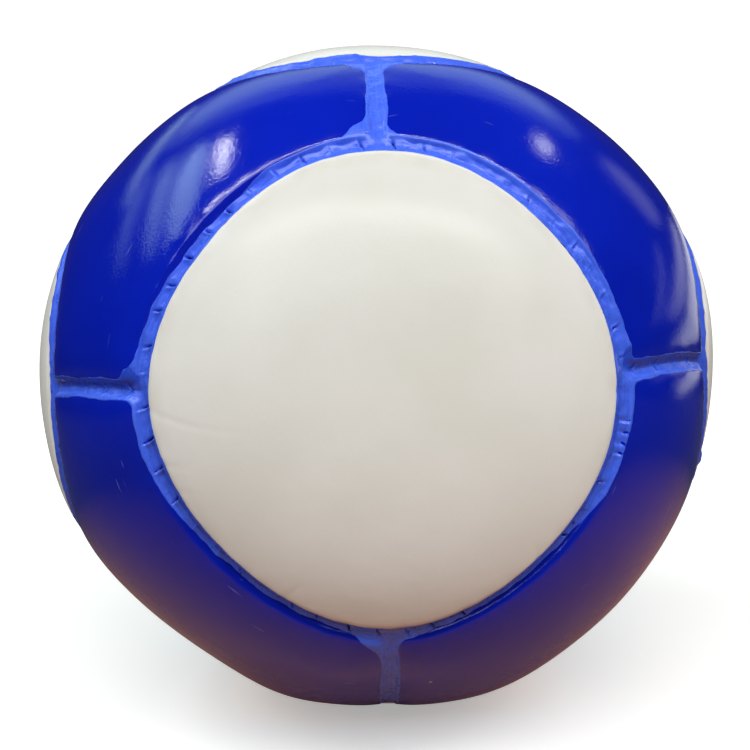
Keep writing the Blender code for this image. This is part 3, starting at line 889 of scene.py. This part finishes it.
def filled_share(directions):
    """1 where the brush left the groove fuller, 0 elsewhere."""
    shares = (nearness(directions, place, FILLED_REACH)[..., 0] for place in FILLED_PLACES)
    return np.clip(sum(shares), 0, 1)


def down_wall_shade_share(seam, beside):
    """1 along the walls of level short seams that face down, where the finish paints shade."""
    level = np.exp(-(short_distances(seam)[..., 2] / SEAM_DEPTH) ** 2)
    return np.clip(unit(beside - seam)[..., 2], 0, 1) * level


def coat_depth(directions, is_round, share):
    """Depth of the coat's face, a share of the way from the seam line to the coat's edge."""
    rounded = COAT_THICKNESS * np.sqrt(1 - share ** EDGE_ROUNDING)
    wall = skin_depth(directions, is_round) - (rounded - COAT_TUCK * share ** TUCK_SHARPNESS)
    across = np.maximum(seam_distance(directions, is_round), 0)
    filled = filled_share(directions)
    starved = np.clip(spread(directions, STARVED_PLACES) / ARM_SIDE_WIDTH, 0, 1)
    groove = GROOVE_DEPTH - FILLED_RISE * filled + STARVED_DROP * starved
    groove -= GROOVE_SLOPE * (1 - FILLED_FLATNESS * filled) * across
    groove += hills(directions * BALL_RADIUS, **COAT_LUMPS)
    groove += hills(directions * BALL_RADIUS, **FINE_LUMPS)
    return -GROOVE_BLEND * np.logaddexp(-wall / GROOVE_BLEND, -groove / GROOVE_BLEND)


print("the paint lies", GROOVE_DEPTH / MM, "mm deep in the groove")

# %% [markdown]
# Stitches in the paint
#
# The stitches show through the paint as slits, each with a small ridge beside it where the thread
# lies. No two are alike: each one's depth is drawn from a seed, and so is a small shift along the
# seam. At a few places all of them are deep, or hardly show. At one place on the front ring the
# paint has four folds close together.

# %% Slits, ridges and folds
SLIT_DEPTH = 1.1 * MM
SLIT_WIDTH = 0.19 * MM
SLIT_PLACE = 0.40 * MM
SLIT_REACH = 0.70 * MM
SLIT_SLANT = 0.35
SLIT_SHIFT = 1.4 * MM
BAR_HEIGHT = 0.32 * MM
LEAST_BAR = 0.3
BAR_OFFSET = 0.55 * MM
BAR_WIDTH = 0.36 * MM
DEEPEST = 1.25
DEEP_POWER = 1.4
LEAST_DEEP = 0.06
DEEP_PLACES = (
    ((-0.505, -0.84, -0.21), 0.9, math.radians(6)),
    ((0.40, -0.84, 0.36), -0.6, math.radians(16)),
    ((0.53, -0.84, -0.14), -0.9, math.radians(7)),
)
SHORT_DEEP = 0.5
SHORT_DEEP_HILLS = {"spacing": 11 * MM, "height": 0.5, "seed": 8}
LEAST_SHORT_DEEP = 0.05
CLOSE_FOLDS = np.radians((101.1, 103.7, 106.3, 108.4))
CLOSE_DEPTH = 0.44 * MM
CLOSE_WIDTH = 0.32 * MM
CLOSE_RIDGE = 0.22 * MM
CLOSE_PLACE = 1.15 * MM
CLOSE_REACH = 0.95 * MM


def stitch_marks(along, distance, deep):
    """How far the coat sinks at a stitch, and rises over the thread beside it."""
    along = along - SLIT_SLANT * distance
    slit = SLIT_DEPTH * deep * np.exp(-(along / SLIT_WIDTH) ** 2)
    height = BAR_HEIGHT * (LEAST_BAR + (1 - LEAST_BAR) * deep)
    bar = height * np.exp(-((along - BAR_OFFSET) / BAR_WIDTH) ** 2)
    return (slit - bar) * np.exp(-((np.abs(distance) - SLIT_PLACE) / SLIT_REACH) ** 2)


def close_folds(directions):
    """Folds that lie close together across the paint, at one place on the front ring."""
    round_front = np.arctan2(directions[..., 0], directions[..., 2])
    distance = ring_distances(directions)[..., 1]
    across = np.exp(-((distance - CLOSE_PLACE) / CLOSE_REACH) ** 2) * (directions[..., 1] < 0)
    total = np.zeros_like(distance)
    for fold in CLOSE_FOLDS:
        along = (round_front - fold) * SEAM_RADIUS * math.sin(RING_ANGLE)
        total += CLOSE_DEPTH * np.exp(-(along / CLOSE_WIDTH) ** 2)
        total -= CLOSE_RIDGE * np.exp(-((along - BAR_OFFSET) / BAR_WIDTH) ** 2)
    return across * total


def coat_marks(directions, is_round):
    """The marks of the nearest ring seam, with a three-armed panel's short seam and close folds."""
    ring, short = stitch_count(directions)
    moved = SLIT_SHIFT * (stitch_draw(directions, seed=9) - 0.5)
    along = (ring - np.floor(ring) - 0.5) * STITCH_PITCH + moved
    deep = DEEPEST * stitch_draw(directions, seed=8) ** DEEP_POWER
    deep = np.maximum(deep + spread(directions, DEEP_PLACES), LEAST_DEEP)
    marks = stitch_marks(along, ring_distances(directions).min(-1), deep)
    if not is_round:
        along = (short - np.floor(short) - 0.5) * SHORT_SEAM / SHORT_STITCHES
        deep = SHORT_DEEP + hills(directions * BALL_RADIUS, **SHORT_DEEP_HILLS)
        deep = np.clip(deep, LEAST_SHORT_DEEP, 1) * (1 - filled_share(directions))
        marks += stitch_marks(along, short_distances(directions).min(-1), deep)
        marks += close_folds(directions)
    return marks


print(f"the deepest slit goes down about {DEEPEST * SLIT_DEPTH / MM:.1f} mm")

# %% [markdown]
# Lines along a seam
#
# The coat is a sheet again: its columns follow each other along the seam, and its rows go from the
# bottom of the groove up the wall to the edge, then back underneath. A slit is much narrower than a
# stitch is long, so the columns are bunched at the stitches. The edge of the three-armed panels is
# a chain: half a short seam, a quarter of the ring, and half a short seam again. It is laid out at
# many even insets, and any inset between two of them is read off along a straight line.

# %% Chains at an inset
COAT_COLUMNS = 20
COAT_BUNCHING = 0.7
INSET_STEPS = np.linspace(0, 8, 33) * MM
JUST_INSIDE = 1.001
bunched = np.arange(RING_STITCHES * COAT_COLUMNS + 1) / COAT_COLUMNS
bunched = bunched + COAT_BUNCHING / math.tau * np.sin(math.tau * bunched)
coat_azimuths = bunched / RING_STITCHES * math.tau


def quarter_chain(inset):
    """A quarter of a ring's outer edge, with half a short edge at each end."""
    arc = ring_edge(inset, coat_azimuths[:RING_STITCHES * COAT_COLUMNS // 4 + 1] / QUARTER)
    first = math.atan2(arc[0, 0], arc[0, 2])
    half = SHORT_STITCHES * COAT_COLUMNS // 2
    turns = first + (QUARTER / 2 - first) * bunched[1:half + 1] / bunched[half]
    far = by_short_seam(turns, inset)
    near = far[::-1, [1, 0, 2]]
    return np.concatenate([near, arc, far])


chain_steps = np.stack([quarter_chain(inset) for inset in INSET_STEPS])


def chain_at(insets):
    """The quarter chain with an inset of its own at each of its points."""
    place = np.clip(insets / INSET_STEPS[1], 0, len(INSET_STEPS) - JUST_INSIDE)
    low = place.astype(int)
    columns = np.arange(chain_steps.shape[1])
    part = (place - low)[:, None]
    return unit(chain_steps[low, columns] * (1 - part) + chain_steps[low + 1, columns] * part)


print("a chain has", chain_steps.shape[1], "points at each of", len(INSET_STEPS), "insets")

# %% [markdown]
# One coat for each ring
#
# A coat takes in one ring seam and the near half of its four short seams. The wall of the round
# panel is one closed sheet. The walls of the three-armed panels are four open ones, a quarter each.
# They share the bottom of the groove, so joining and merging makes them one closed piece. Each
# point keeps marks for the finish: how far it is sunk, how much painted shade it gets as a wall
# facing down, and its place across and along the seam.

# %% Painted seams
COAT_ROWS = 14
WEB_INSET = 5.0 * MM
MARK_FADE = 6
DOWN_WALL_SHADE_RISE = 3
QUARTER_TURN = np.array(((0, 1, 0), (-1, 0, 0), (0, 0, 1)))
coat_shares = np.linspace(0, 1, COAT_ROWS)
under_shares = np.array([1.0, 0.7, 0.45, 0.3])


def lay_coat(name, at_inset, seam, turn, is_round):
    """The coat on one wall: up from the seam line to its edge, and back underneath."""
    beside = at_inset(np.full(len(seam), WEB_INSET))
    width = coat_width(turn(seam), turn(beside), is_round)
    face = turn(np.stack([at_inset(width * share) for share in coat_shares]))
    marks = coat_marks(face, is_round) * (1 - coat_shares[:, None] ** MARK_FADE)
    depth = coat_depth(face, is_round, coat_shares[:, None]) + marks
    back = turn(np.stack([at_inset(width * share) for share in under_shares]))
    back_depth = np.minimum(skin_depth(back, is_round) + COAT_TUCK, SEAM_DEPTH)
    keel = turn(seam)[None] * (BALL_RADIUS - SEAM_DEPTH)
    points = np.concatenate([
        face * (BALL_RADIUS - depth)[..., None],
        back * (BALL_RADIUS - back_depth)[..., None],
        keel,
    ])
    sunk = np.zeros(points.shape[:2])
    sunk[:COAT_ROWS] = marks / MM
    across = np.zeros_like(sunk)
    across[:COAT_ROWS] = (coat_shares[:, None] if is_round else -coat_shares[:, None]) * width / MM
    # painted shade: walls of level short seams that face down get a darker paint colour, rising
    # from the seam line
    down_wall_shade = np.zeros_like(sunk)
    if not is_round:
        rise = np.clip(coat_shares[:, None] * DOWN_WALL_SHADE_RISE, 0, 1)
        down_wall_shade[:COAT_ROWS] = down_wall_shade_share(turn(seam), turn(beside)) * rise
    steps = np.linalg.norm(np.diff(seam, axis=0), axis=-1) * BALL_RADIUS
    along = np.concatenate([[0], np.cumsum(steps)]) / MM
    return wrap_grid(name, points, {"sunk": sunk, "across": across, "down_wall_shade": down_wall_shade,
                                    "along": np.broadcast_to(along, sunk.shape)})


coats = {}
for side in SIDES:
    turn = side_turn(side)
    walls = [lay_coat(f"seam_coat_{side}", lambda inset: on_ring(coat_azimuths, inset),
                      on_ring(coat_azimuths, 0), turn, True)]
    for quarter in range(4):
        spin = np.linalg.matrix_power(QUARTER_TURN, quarter)
        walls.append(lay_coat(f"coat_quarter_{quarter}", lambda inset: chain_at(inset) @ spin,
                              chain_steps[0] @ spin, turn, False))
    for wall in walls:
        wall.select_set(True)
    bpy.context.view_layer.objects.active = walls[0]
    bpy.ops.object.join()
    coats[side] = close_sheet(walls[0])
print("coats:", {s: len(c.data.polygons) for s, c in coats.items()})

# %% [markdown]
# The valve
#
# Air goes in through a rubber valve in the back panel: a soft plug with a slit for the needle, held
# in a body with a wide flange inside. Both are round, so each is drawn as half a section and spun
# about its axis, the way a turner would think of it. The sizes are read from the frame.

# %% Valve
VALVE_STEPS = 64
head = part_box("valve_body")[1].y
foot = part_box("valve_body")[0].y
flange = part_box("valve_body")[1].x
plug_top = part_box("valve_plug")[1].y
plug_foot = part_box("valve_plug")[0].y
plug_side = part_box("valve_plug")[1].x
BORE = plug_side + 0.3 * MM
NECK = 4.5 * MM
FLANGE_TOP = head - 6.7 * MM
FLANGE_ROOT = FLANGE_TOP - 1.2 * MM
FLANGE_RIM = FLANGE_TOP - 1.4 * MM
FLANGE_EDGE = 0.6 * MM
POCKET = 0.9 * MM
POCKET_FOOT = plug_top - 12.0 * MM
VALVE_SMOOTH = math.radians(35)


def spin_section(name, section, closed):
    """A half section of (radius, height) points, spun about the valve's axis."""
    mesh = bpy.data.meshes.new(name)
    edges = [(i, i + 1) for i in range(len(section) - 1)]
    if closed:
        edges.append((len(section) - 1, 0))
    mesh.from_pydata([(radius, height, 0) for radius, height in section], edges, [])
    made = bpy.data.objects.new(name, mesh)
    bpy.context.scene.collection.objects.link(made)
    bpy.ops.object.select_all(action="DESELECT")
    made.select_set(True)
    bpy.context.view_layer.objects.active = made
    bpy.ops.object.mode_set(mode="EDIT")
    bpy.ops.mesh.select_all(action="SELECT")
    bpy.ops.mesh.spin(steps=VALVE_STEPS, angle=math.tau, center=(0, 0, 0), axis=(0, 1, 0))
    bpy.ops.mesh.select_all(action="SELECT")
    bpy.ops.mesh.remove_doubles(threshold=MERGE)
    bpy.ops.mesh.normals_make_consistent(inside=False)
    bpy.ops.object.mode_set(mode="OBJECT")
    bpy.ops.object.shade_smooth_by_angle(angle=VALVE_SMOOTH)
    return made


body_section = [
    (BORE, foot), (BORE, head - 0.9 * MM), (BORE + 0.15 * MM, head - 0.3 * MM),
    (BORE + 0.4 * MM, head - 0.05 * MM), (BORE + 0.7 * MM, head), (NECK - 0.6 * MM, head),
    (NECK - 0.2 * MM, head - 0.1 * MM), (NECK, head - 0.4 * MM), (NECK, FLANGE_TOP),
    (flange - 0.5 * MM, FLANGE_RIM + 0.1 * MM), (flange, FLANGE_RIM),
    (flange, FLANGE_RIM - FLANGE_EDGE), (NECK, FLANGE_ROOT), (NECK, foot),
]
plug_section = [
    (0, POCKET_FOOT), (POCKET, POCKET_FOOT), (POCKET, plug_top - 1.5 * MM),
    (1.0 * MM, plug_top - 0.9 * MM), (1.2 * MM, plug_top - 0.3 * MM), (1.5 * MM, plug_top),
    (1.95 * MM, plug_top), (plug_side - 0.2 * MM, plug_top - 0.15 * MM),
    (plug_side, plug_top - 0.5 * MM), (plug_side, plug_foot), (0, plug_foot),
]
valve_body = spin_section("valve_collar", body_section, True)
valve_plug = spin_section("valve_stopper", plug_section, False)
print("valve:", len(valve_body.data.polygons), "and", len(valve_plug.data.polygons), "faces")

# %% [markdown]
# Pieces inside the ball
#
# Below the cover lie the cloth linings, the threads and the rubber bladder. They never show on a
# whole ball, so their frame pieces are fine enough. Each is copied, its loose facets are merged,
# and the copy is carried to the same uneven shape as the cover, a hair further in.

# %% Inner pieces
DRAWN_IN = 0.5 * MM
INNER_SMOOTH = math.radians(40)
inner_pieces = {}
for name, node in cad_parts.items():
    if "lining" not in name and "thread" not in name and name != "bladder":
        continue
    piece = bpy.data.objects.new(f"inner_{name}", node.data.copy())
    piece.data.name = piece.name
    piece.data.materials.clear()
    bpy.context.scene.collection.objects.link(piece)
    bpy.ops.object.select_all(action="DESELECT")
    piece.select_set(True)
    bpy.context.view_layer.objects.active = piece
    bpy.ops.object.mode_set(mode="EDIT")
    bpy.ops.mesh.select_all(action="SELECT")
    bpy.ops.mesh.remove_doubles(threshold=MERGE)
    bpy.ops.mesh.normals_make_consistent(inside=False)
    bpy.ops.object.mode_set(mode="OBJECT")
    places = np.empty(3 * len(piece.data.vertices), np.float32)
    piece.data.vertices.foreach_get("co", places)
    places = places.reshape(-1, 3).astype(float)
    places = uneven(places * (1 - DRAWN_IN / np.linalg.norm(places, axis=-1, keepdims=True)))
    piece.data.vertices.foreach_set("co", places.reshape(-1).astype(np.float32))
    bpy.ops.object.shade_smooth_by_angle(angle=INNER_SMOOTH)
    inner_pieces[name] = piece
print("inner pieces:", len(inner_pieces))

# %% [markdown]
# Building blocks of a finish
#
# A real surface is never one even colour. The same few blocks come back in every finish: a cloud of
# noise that drifts between two tones, rare round specks of dust, and a fine grain that only tilts
# the light. All of them use the object's own coordinates in metres, so 1000 is one wave each
# millimetre, and the pattern stays on the piece wherever it goes.

# %% Finish helpers
SPECK_CORE = 0.6
RARE_CORE = 0.9


def clouds(tree, place, scale, detail=3.0):
    """Soft noise of about one size, from 0 to 1."""
    inputs = {"Vector": place, "Scale": scale, "Detail": detail}
    return add_node(tree, "ShaderNodeTexNoise", inputs).outputs["Fac"]


def between(tree, value, low, high, start=0.0, end=1.0):
    """A value carried from one range to another, and held inside it."""
    inputs = {"Value": value, "From Min": low, "From Max": high, "To Min": start, "To Max": end}
    return add_node(tree, "ShaderNodeMapRange", inputs).outputs["Result"]


def blend(tree, factor, first, second):
    """Two colours, mixed by a factor."""
    mix = add_node(tree, "ShaderNodeMix", {0: factor, 6: first, 7: second}, data_type="RGBA")
    return mix.outputs[2]


def times(tree, first, second):
    """Two values multiplied."""
    return add_node(tree, "ShaderNodeMath", {0: first, 1: second}, operation="MULTIPLY").outputs[0]


def specks(tree, place, scale, size, share):
    """1 on rare round specks, scattered without order."""
    cells = add_node(tree, "ShaderNodeTexVoronoi", {"Vector": place, "Scale": scale})
    parts = add_node(tree, "ShaderNodeSeparateColor", {"Color": cells.outputs["Color"]})
    dot = between(tree, cells.outputs["Distance"], size, size * SPECK_CORE)
    return times(tree, dot, between(tree, parts.outputs["Red"], share, share * RARE_CORE))


def bumped(tree, height, strength, distance, under=None):
    """A normal tilted by a height, over another normal if there is one."""
    inputs = {"Height": height, "Strength": strength, "Distance": distance}
    if under:
        inputs["Normal"] = under
    return add_node(tree, "ShaderNodeBump", inputs).outputs["Normal"]


def mark_of(tree, name):
    """A mark that was stored on the points of a piece."""
    return add_node(tree, "ShaderNodeAttribute", {}, attribute_name=name).outputs["Fac"]


print("blocks: clouds, between, blend, times, specks, bumped, mark_of")

# %% [markdown]
# Ivory skin
#
# The round panels are a coated leather, off-white and satin. It has a grain too fine to see, which
# softens the sheen, and a broad, faint mottling. Within a few millimetres of the seams it turns a
# little darker and warmer in patches, and it carries a few dark specks of dust.

# %% Ivory skin
IVORY = light_of(244, 244, 239)
IVORY_SHADE = light_of(240, 240, 233)
NEAR_SEAM_TONE = light_of(196, 182, 166)
DARK_SPECK = light_of(118, 106, 96)

ivory, tree, shader = new_finish("ivory_skin")
place = tree.nodes.new("ShaderNodeTexCoord").outputs["Object"]
mottle = between(tree, clouds(tree, place, scale=45), 0.35, 0.65)
tone = blend(tree, mottle, IVORY, IVORY_SHADE)
# darker, warmer patches within a few millimetres of the seams
near = times(tree, between(tree, mark_of(tree, "from_seam"), 7.0, 1.0),
             between(tree, clouds(tree, place, scale=210), 0.35, 0.75))
tone = blend(tree, times(tree, near, 0.35), tone, NEAR_SEAM_TONE)
dust = specks(tree, place, scale=95, size=0.05, share=0.05)
tone = blend(tree, times(tree, dust, 0.7), tone, DARK_SPECK)
tree.links.new(tone, shader.inputs["Base Color"])
satin = between(tree, clouds(tree, place, scale=120), 0.2, 0.8, 0.22, 0.26)
tree.links.new(satin, shader.inputs["Roughness"])
grain = bumped(tree, clouds(tree, place, scale=2600, detail=2.0), strength=0.08, distance=0.2 * MM)
waves = clouds(tree, place, scale=330)
tilted = bumped(tree, waves, strength=0.08, distance=0.6 * MM, under=grain)
tree.links.new(tilted, shader.inputs["Normal"])
shader.inputs["Specular IOR Level"].default_value = 0.22
shader.inputs["Diffuse Roughness"].default_value = 1.0
print("ivory skin:", len(tree.nodes), "nodes")

# %% [markdown]
# Patent blue skin
#
# The three-armed panels are patent leather: a deep blue under a hard, glossy coat. The gloss isn't
# a mirror. A fine grain breaks the edge of each highlight into sparks, and the coat carries dust
# and short hair scratches, which show as pale marks.

# %% Patent blue skin
DEEP_BLUE = light_of(8, 34, 190)
DEEP_BLUE_SHADE = light_of(6, 29, 176)
PALE_DUST = light_of(170, 184, 226)
PALE_HAIR = light_of(150, 166, 220)
HAIR_TURN = (0.4, 0.9, 0.6)
HAIR_SCALE = (140, 2400, 140)

blue, tree, shader = new_finish("patent_blue_skin")
place = tree.nodes.new("ShaderNodeTexCoord").outputs["Object"]
mottle = between(tree, clouds(tree, place, scale=30), 0.35, 0.65)
tone = blend(tree, mottle, DEEP_BLUE, DEEP_BLUE_SHADE)
dust = specks(tree, place, scale=120, size=0.06, share=0.04)
tone = blend(tree, times(tree, dust, 0.8), tone, PALE_DUST)
drawn = add_node(tree, "ShaderNodeMapping", {"Vector": place, "Rotation": HAIR_TURN,
                                             "Scale": HAIR_SCALE}).outputs["Vector"]
hairs = times(tree, between(tree, clouds(tree, drawn, scale=1.0, detail=0.0), 0.80, 0.86),
              between(tree, clouds(tree, place, scale=60), 0.55, 0.65))
tone = blend(tree, times(tree, hairs, 0.5), tone, PALE_HAIR)
tree.links.new(tone, shader.inputs["Base Color"])
gloss = between(tree, clouds(tree, place, scale=160), 0.3, 0.7, 0.09, 0.14)
tree.links.new(gloss, shader.inputs["Roughness"])
grain = bumped(tree, clouds(tree, place, scale=1900, detail=2.0), strength=0.16, distance=0.2 * MM)
waves = clouds(tree, place, scale=260)
tilted = bumped(tree, waves, strength=0.10, distance=0.3 * MM, under=grain)
tree.links.new(tilted, shader.inputs["Normal"])
print("patent blue skin:", len(tree.nodes), "nodes")

# %% [markdown]
# Seam paint
#
# The paint is a thick, half-glossy enamel. The brush leaves streaks along the seam, so its noise is
# stretched that way, using the distances that were stored on the points. Where a stitch cuts in,
# the
# slit is painted dark: painted shade. On the walls of level seams that face down, the paint is
# painted darker, with a ragged edge: painted shade too. Small pits show here and there, dipped by
# the bump and painted dark as painted shade.

# %% Seam paint
LIGHT_BLUE = light_of(62, 98, 234)
LIGHT_BLUE_STREAK = light_of(76, 116, 252)
# the next three colours are painted shade: in the slits, on the walls of level seams that face
# down, and in the pits
SLIT_PAINTED_SHADE = light_of(14, 20, 92)
DOWN_WALL_PAINTED_SHADE = light_of(44, 78, 210)
PIT_PAINTED_SHADE = light_of(22, 34, 128)
STREAK_ALONG = 0.12
STREAK_ACROSS = 1.6

paint, tree, shader = new_finish("seam_paint")
place = tree.nodes.new("ShaderNodeTexCoord").outputs["Object"]
lengths = add_node(tree, "ShaderNodeCombineXYZ",
                   {"X": times(tree, mark_of(tree, "along"), STREAK_ALONG),
                    "Y": times(tree, mark_of(tree, "across"), STREAK_ACROSS)}).outputs[0]
streaks = clouds(tree, lengths, scale=1.3)
tone = blend(tree, between(tree, streaks, 0.3, 0.7), LIGHT_BLUE, LIGHT_BLUE_STREAK)
# painted shade: the paint turns dark where the coat sinks into a slit
tone = blend(tree, between(tree, mark_of(tree, "sunk"), 0.25, 0.7), tone, SLIT_PAINTED_SHADE)
# painted shade: darker paint, with a ragged edge, on the walls of level seams that face down
ragged = times(tree, mark_of(tree, "down_wall_shade"),
               between(tree, clouds(tree, place, scale=640), 0.3, 0.7, 0.7, 1.3))
tone = blend(tree, between(tree, ragged, 0.45, 0.6), tone, DOWN_WALL_PAINTED_SHADE)
# painted shade: the pits, dipped by the bump below, are also painted dark
pits = specks(tree, place, scale=330, size=0.15, share=0.16)
tone = blend(tree, times(tree, pits, 0.8), tone, PIT_PAINTED_SHADE)
tree.links.new(tone, shader.inputs["Base Color"])
enamel = between(tree, clouds(tree, place, scale=400), 0.3, 0.7, 0.20, 0.40)
tree.links.new(enamel, shader.inputs["Roughness"])
sunk = add_node(tree, "ShaderNodeMath", {0: clouds(tree, place, scale=900, detail=2.0), 1: pits},
                operation="SUBTRACT")
skin = bumped(tree, sunk.outputs[0], strength=0.35, distance=0.2 * MM)
tilted = bumped(tree, streaks, strength=0.30, distance=0.3 * MM, under=skin)
tree.links.new(tilted, shader.inputs["Normal"])
print("seam paint:", len(tree.nodes), "nodes")

# %% [markdown]
# Cloth, thread and rubber
#
# The inside has its own materials: a pale woven cloth behind each panel, waxed thread in the seams,
# a dark rubber bladder, and black rubber for the valve with a softer plug.


# %% Inner finishes
def weave(name, dark, light, scale, roughness):
    """A cloth or thread: two sets of fine waves that cross, over a soft mottling."""
    made, tree, shader = new_finish(name)
    place = tree.nodes.new("ShaderNodeTexCoord").outputs["Object"]
    inputs = {"Vector": place, "Scale": scale, "Distortion": 1.2}
    waves = [add_node(tree, "ShaderNodeTexWave", inputs, bands_direction=axis).outputs["Fac"]
             for axis in ("X", "Z")]
    height = times(tree, *waves)
    mottle = times(tree, height, between(tree, clouds(tree, place, scale=90), 0.2, 0.8, 0.6, 1.2))
    tone = blend(tree, mottle, light_of(*dark), light_of(*light))
    tree.links.new(tone, shader.inputs["Base Color"])
    tilted = bumped(tree, height, strength=0.5, distance=0.3 * MM)
    tree.links.new(tilted, shader.inputs["Normal"])
    shader.inputs["Roughness"].default_value = roughness
    return made


def rubber(name, dark, light, roughness):
    """Rubber: a near-even tone with a fine bloom and a dull gloss."""
    made, tree, shader = new_finish(name)
    place = tree.nodes.new("ShaderNodeTexCoord").outputs["Object"]
    bloom = clouds(tree, place, scale=240, detail=5.0)
    tone = blend(tree, bloom, light_of(*dark), light_of(*light))
    tree.links.new(tone, shader.inputs["Base Color"])
    dull = between(tree, bloom, 0.3, 0.7, roughness, roughness + 0.15)
    tree.links.new(dull, shader.inputs["Roughness"])
    tilted = bumped(tree, clouds(tree, place, scale=1800), strength=0.15, distance=0.2 * MM)
    tree.links.new(tilted, shader.inputs["Normal"])
    return made


cloth = weave("lining_cloth", (150, 138, 118), (222, 212, 192), 420, 0.85)
waxed = weave("seam_thread", (176, 183, 202), (222, 228, 243), 900, 0.7)
bladder_rubber = rubber("bladder_rubber", (36, 34, 34), (54, 51, 51), 0.45)
valve_rubber = rubber("valve_rubber", (18, 18, 19), (34, 33, 33), 0.42)
plug_rubber = rubber("plug_rubber", (26, 26, 28), (46, 45, 46), 0.5)
inner_finishes = (cloth, waxed, bladder_rubber, valve_rubber, plug_rubber)
print("inner finishes:", [finish.name for finish in inner_finishes])

# %% [markdown]
# Riding on the frame
#
# Each fine piece takes the place of its plain one in the frame, rides on the same body, and says
# which finish it wears.


# %% Ride and replace
def dress(piece, node, finish):
    """A piece gets its finish, rides on the ball, and takes the place of its node."""
    piece.data.materials.append(finish)
    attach(piece, "root")
    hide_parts(node)


for side in SIDES:
    dress(round_panels[side], f"round_panel_{side}", ivory)
    dress(coats[side], f"seam_paint_{side}", paint)
for corner, panel in arm_panels.items():
    dress(panel, f"arm_panel_{corner}", blue)
for name, piece in inner_pieces.items():
    if name == "bladder":
        dress(piece, name, bladder_rubber)
    elif "thread" in name:
        dress(piece, name, waxed)
    else:
        dress(piece, name, cloth)
dress(valve_body, "valve_body", valve_rubber)
dress(valve_plug, "valve_plug", plug_rubber)
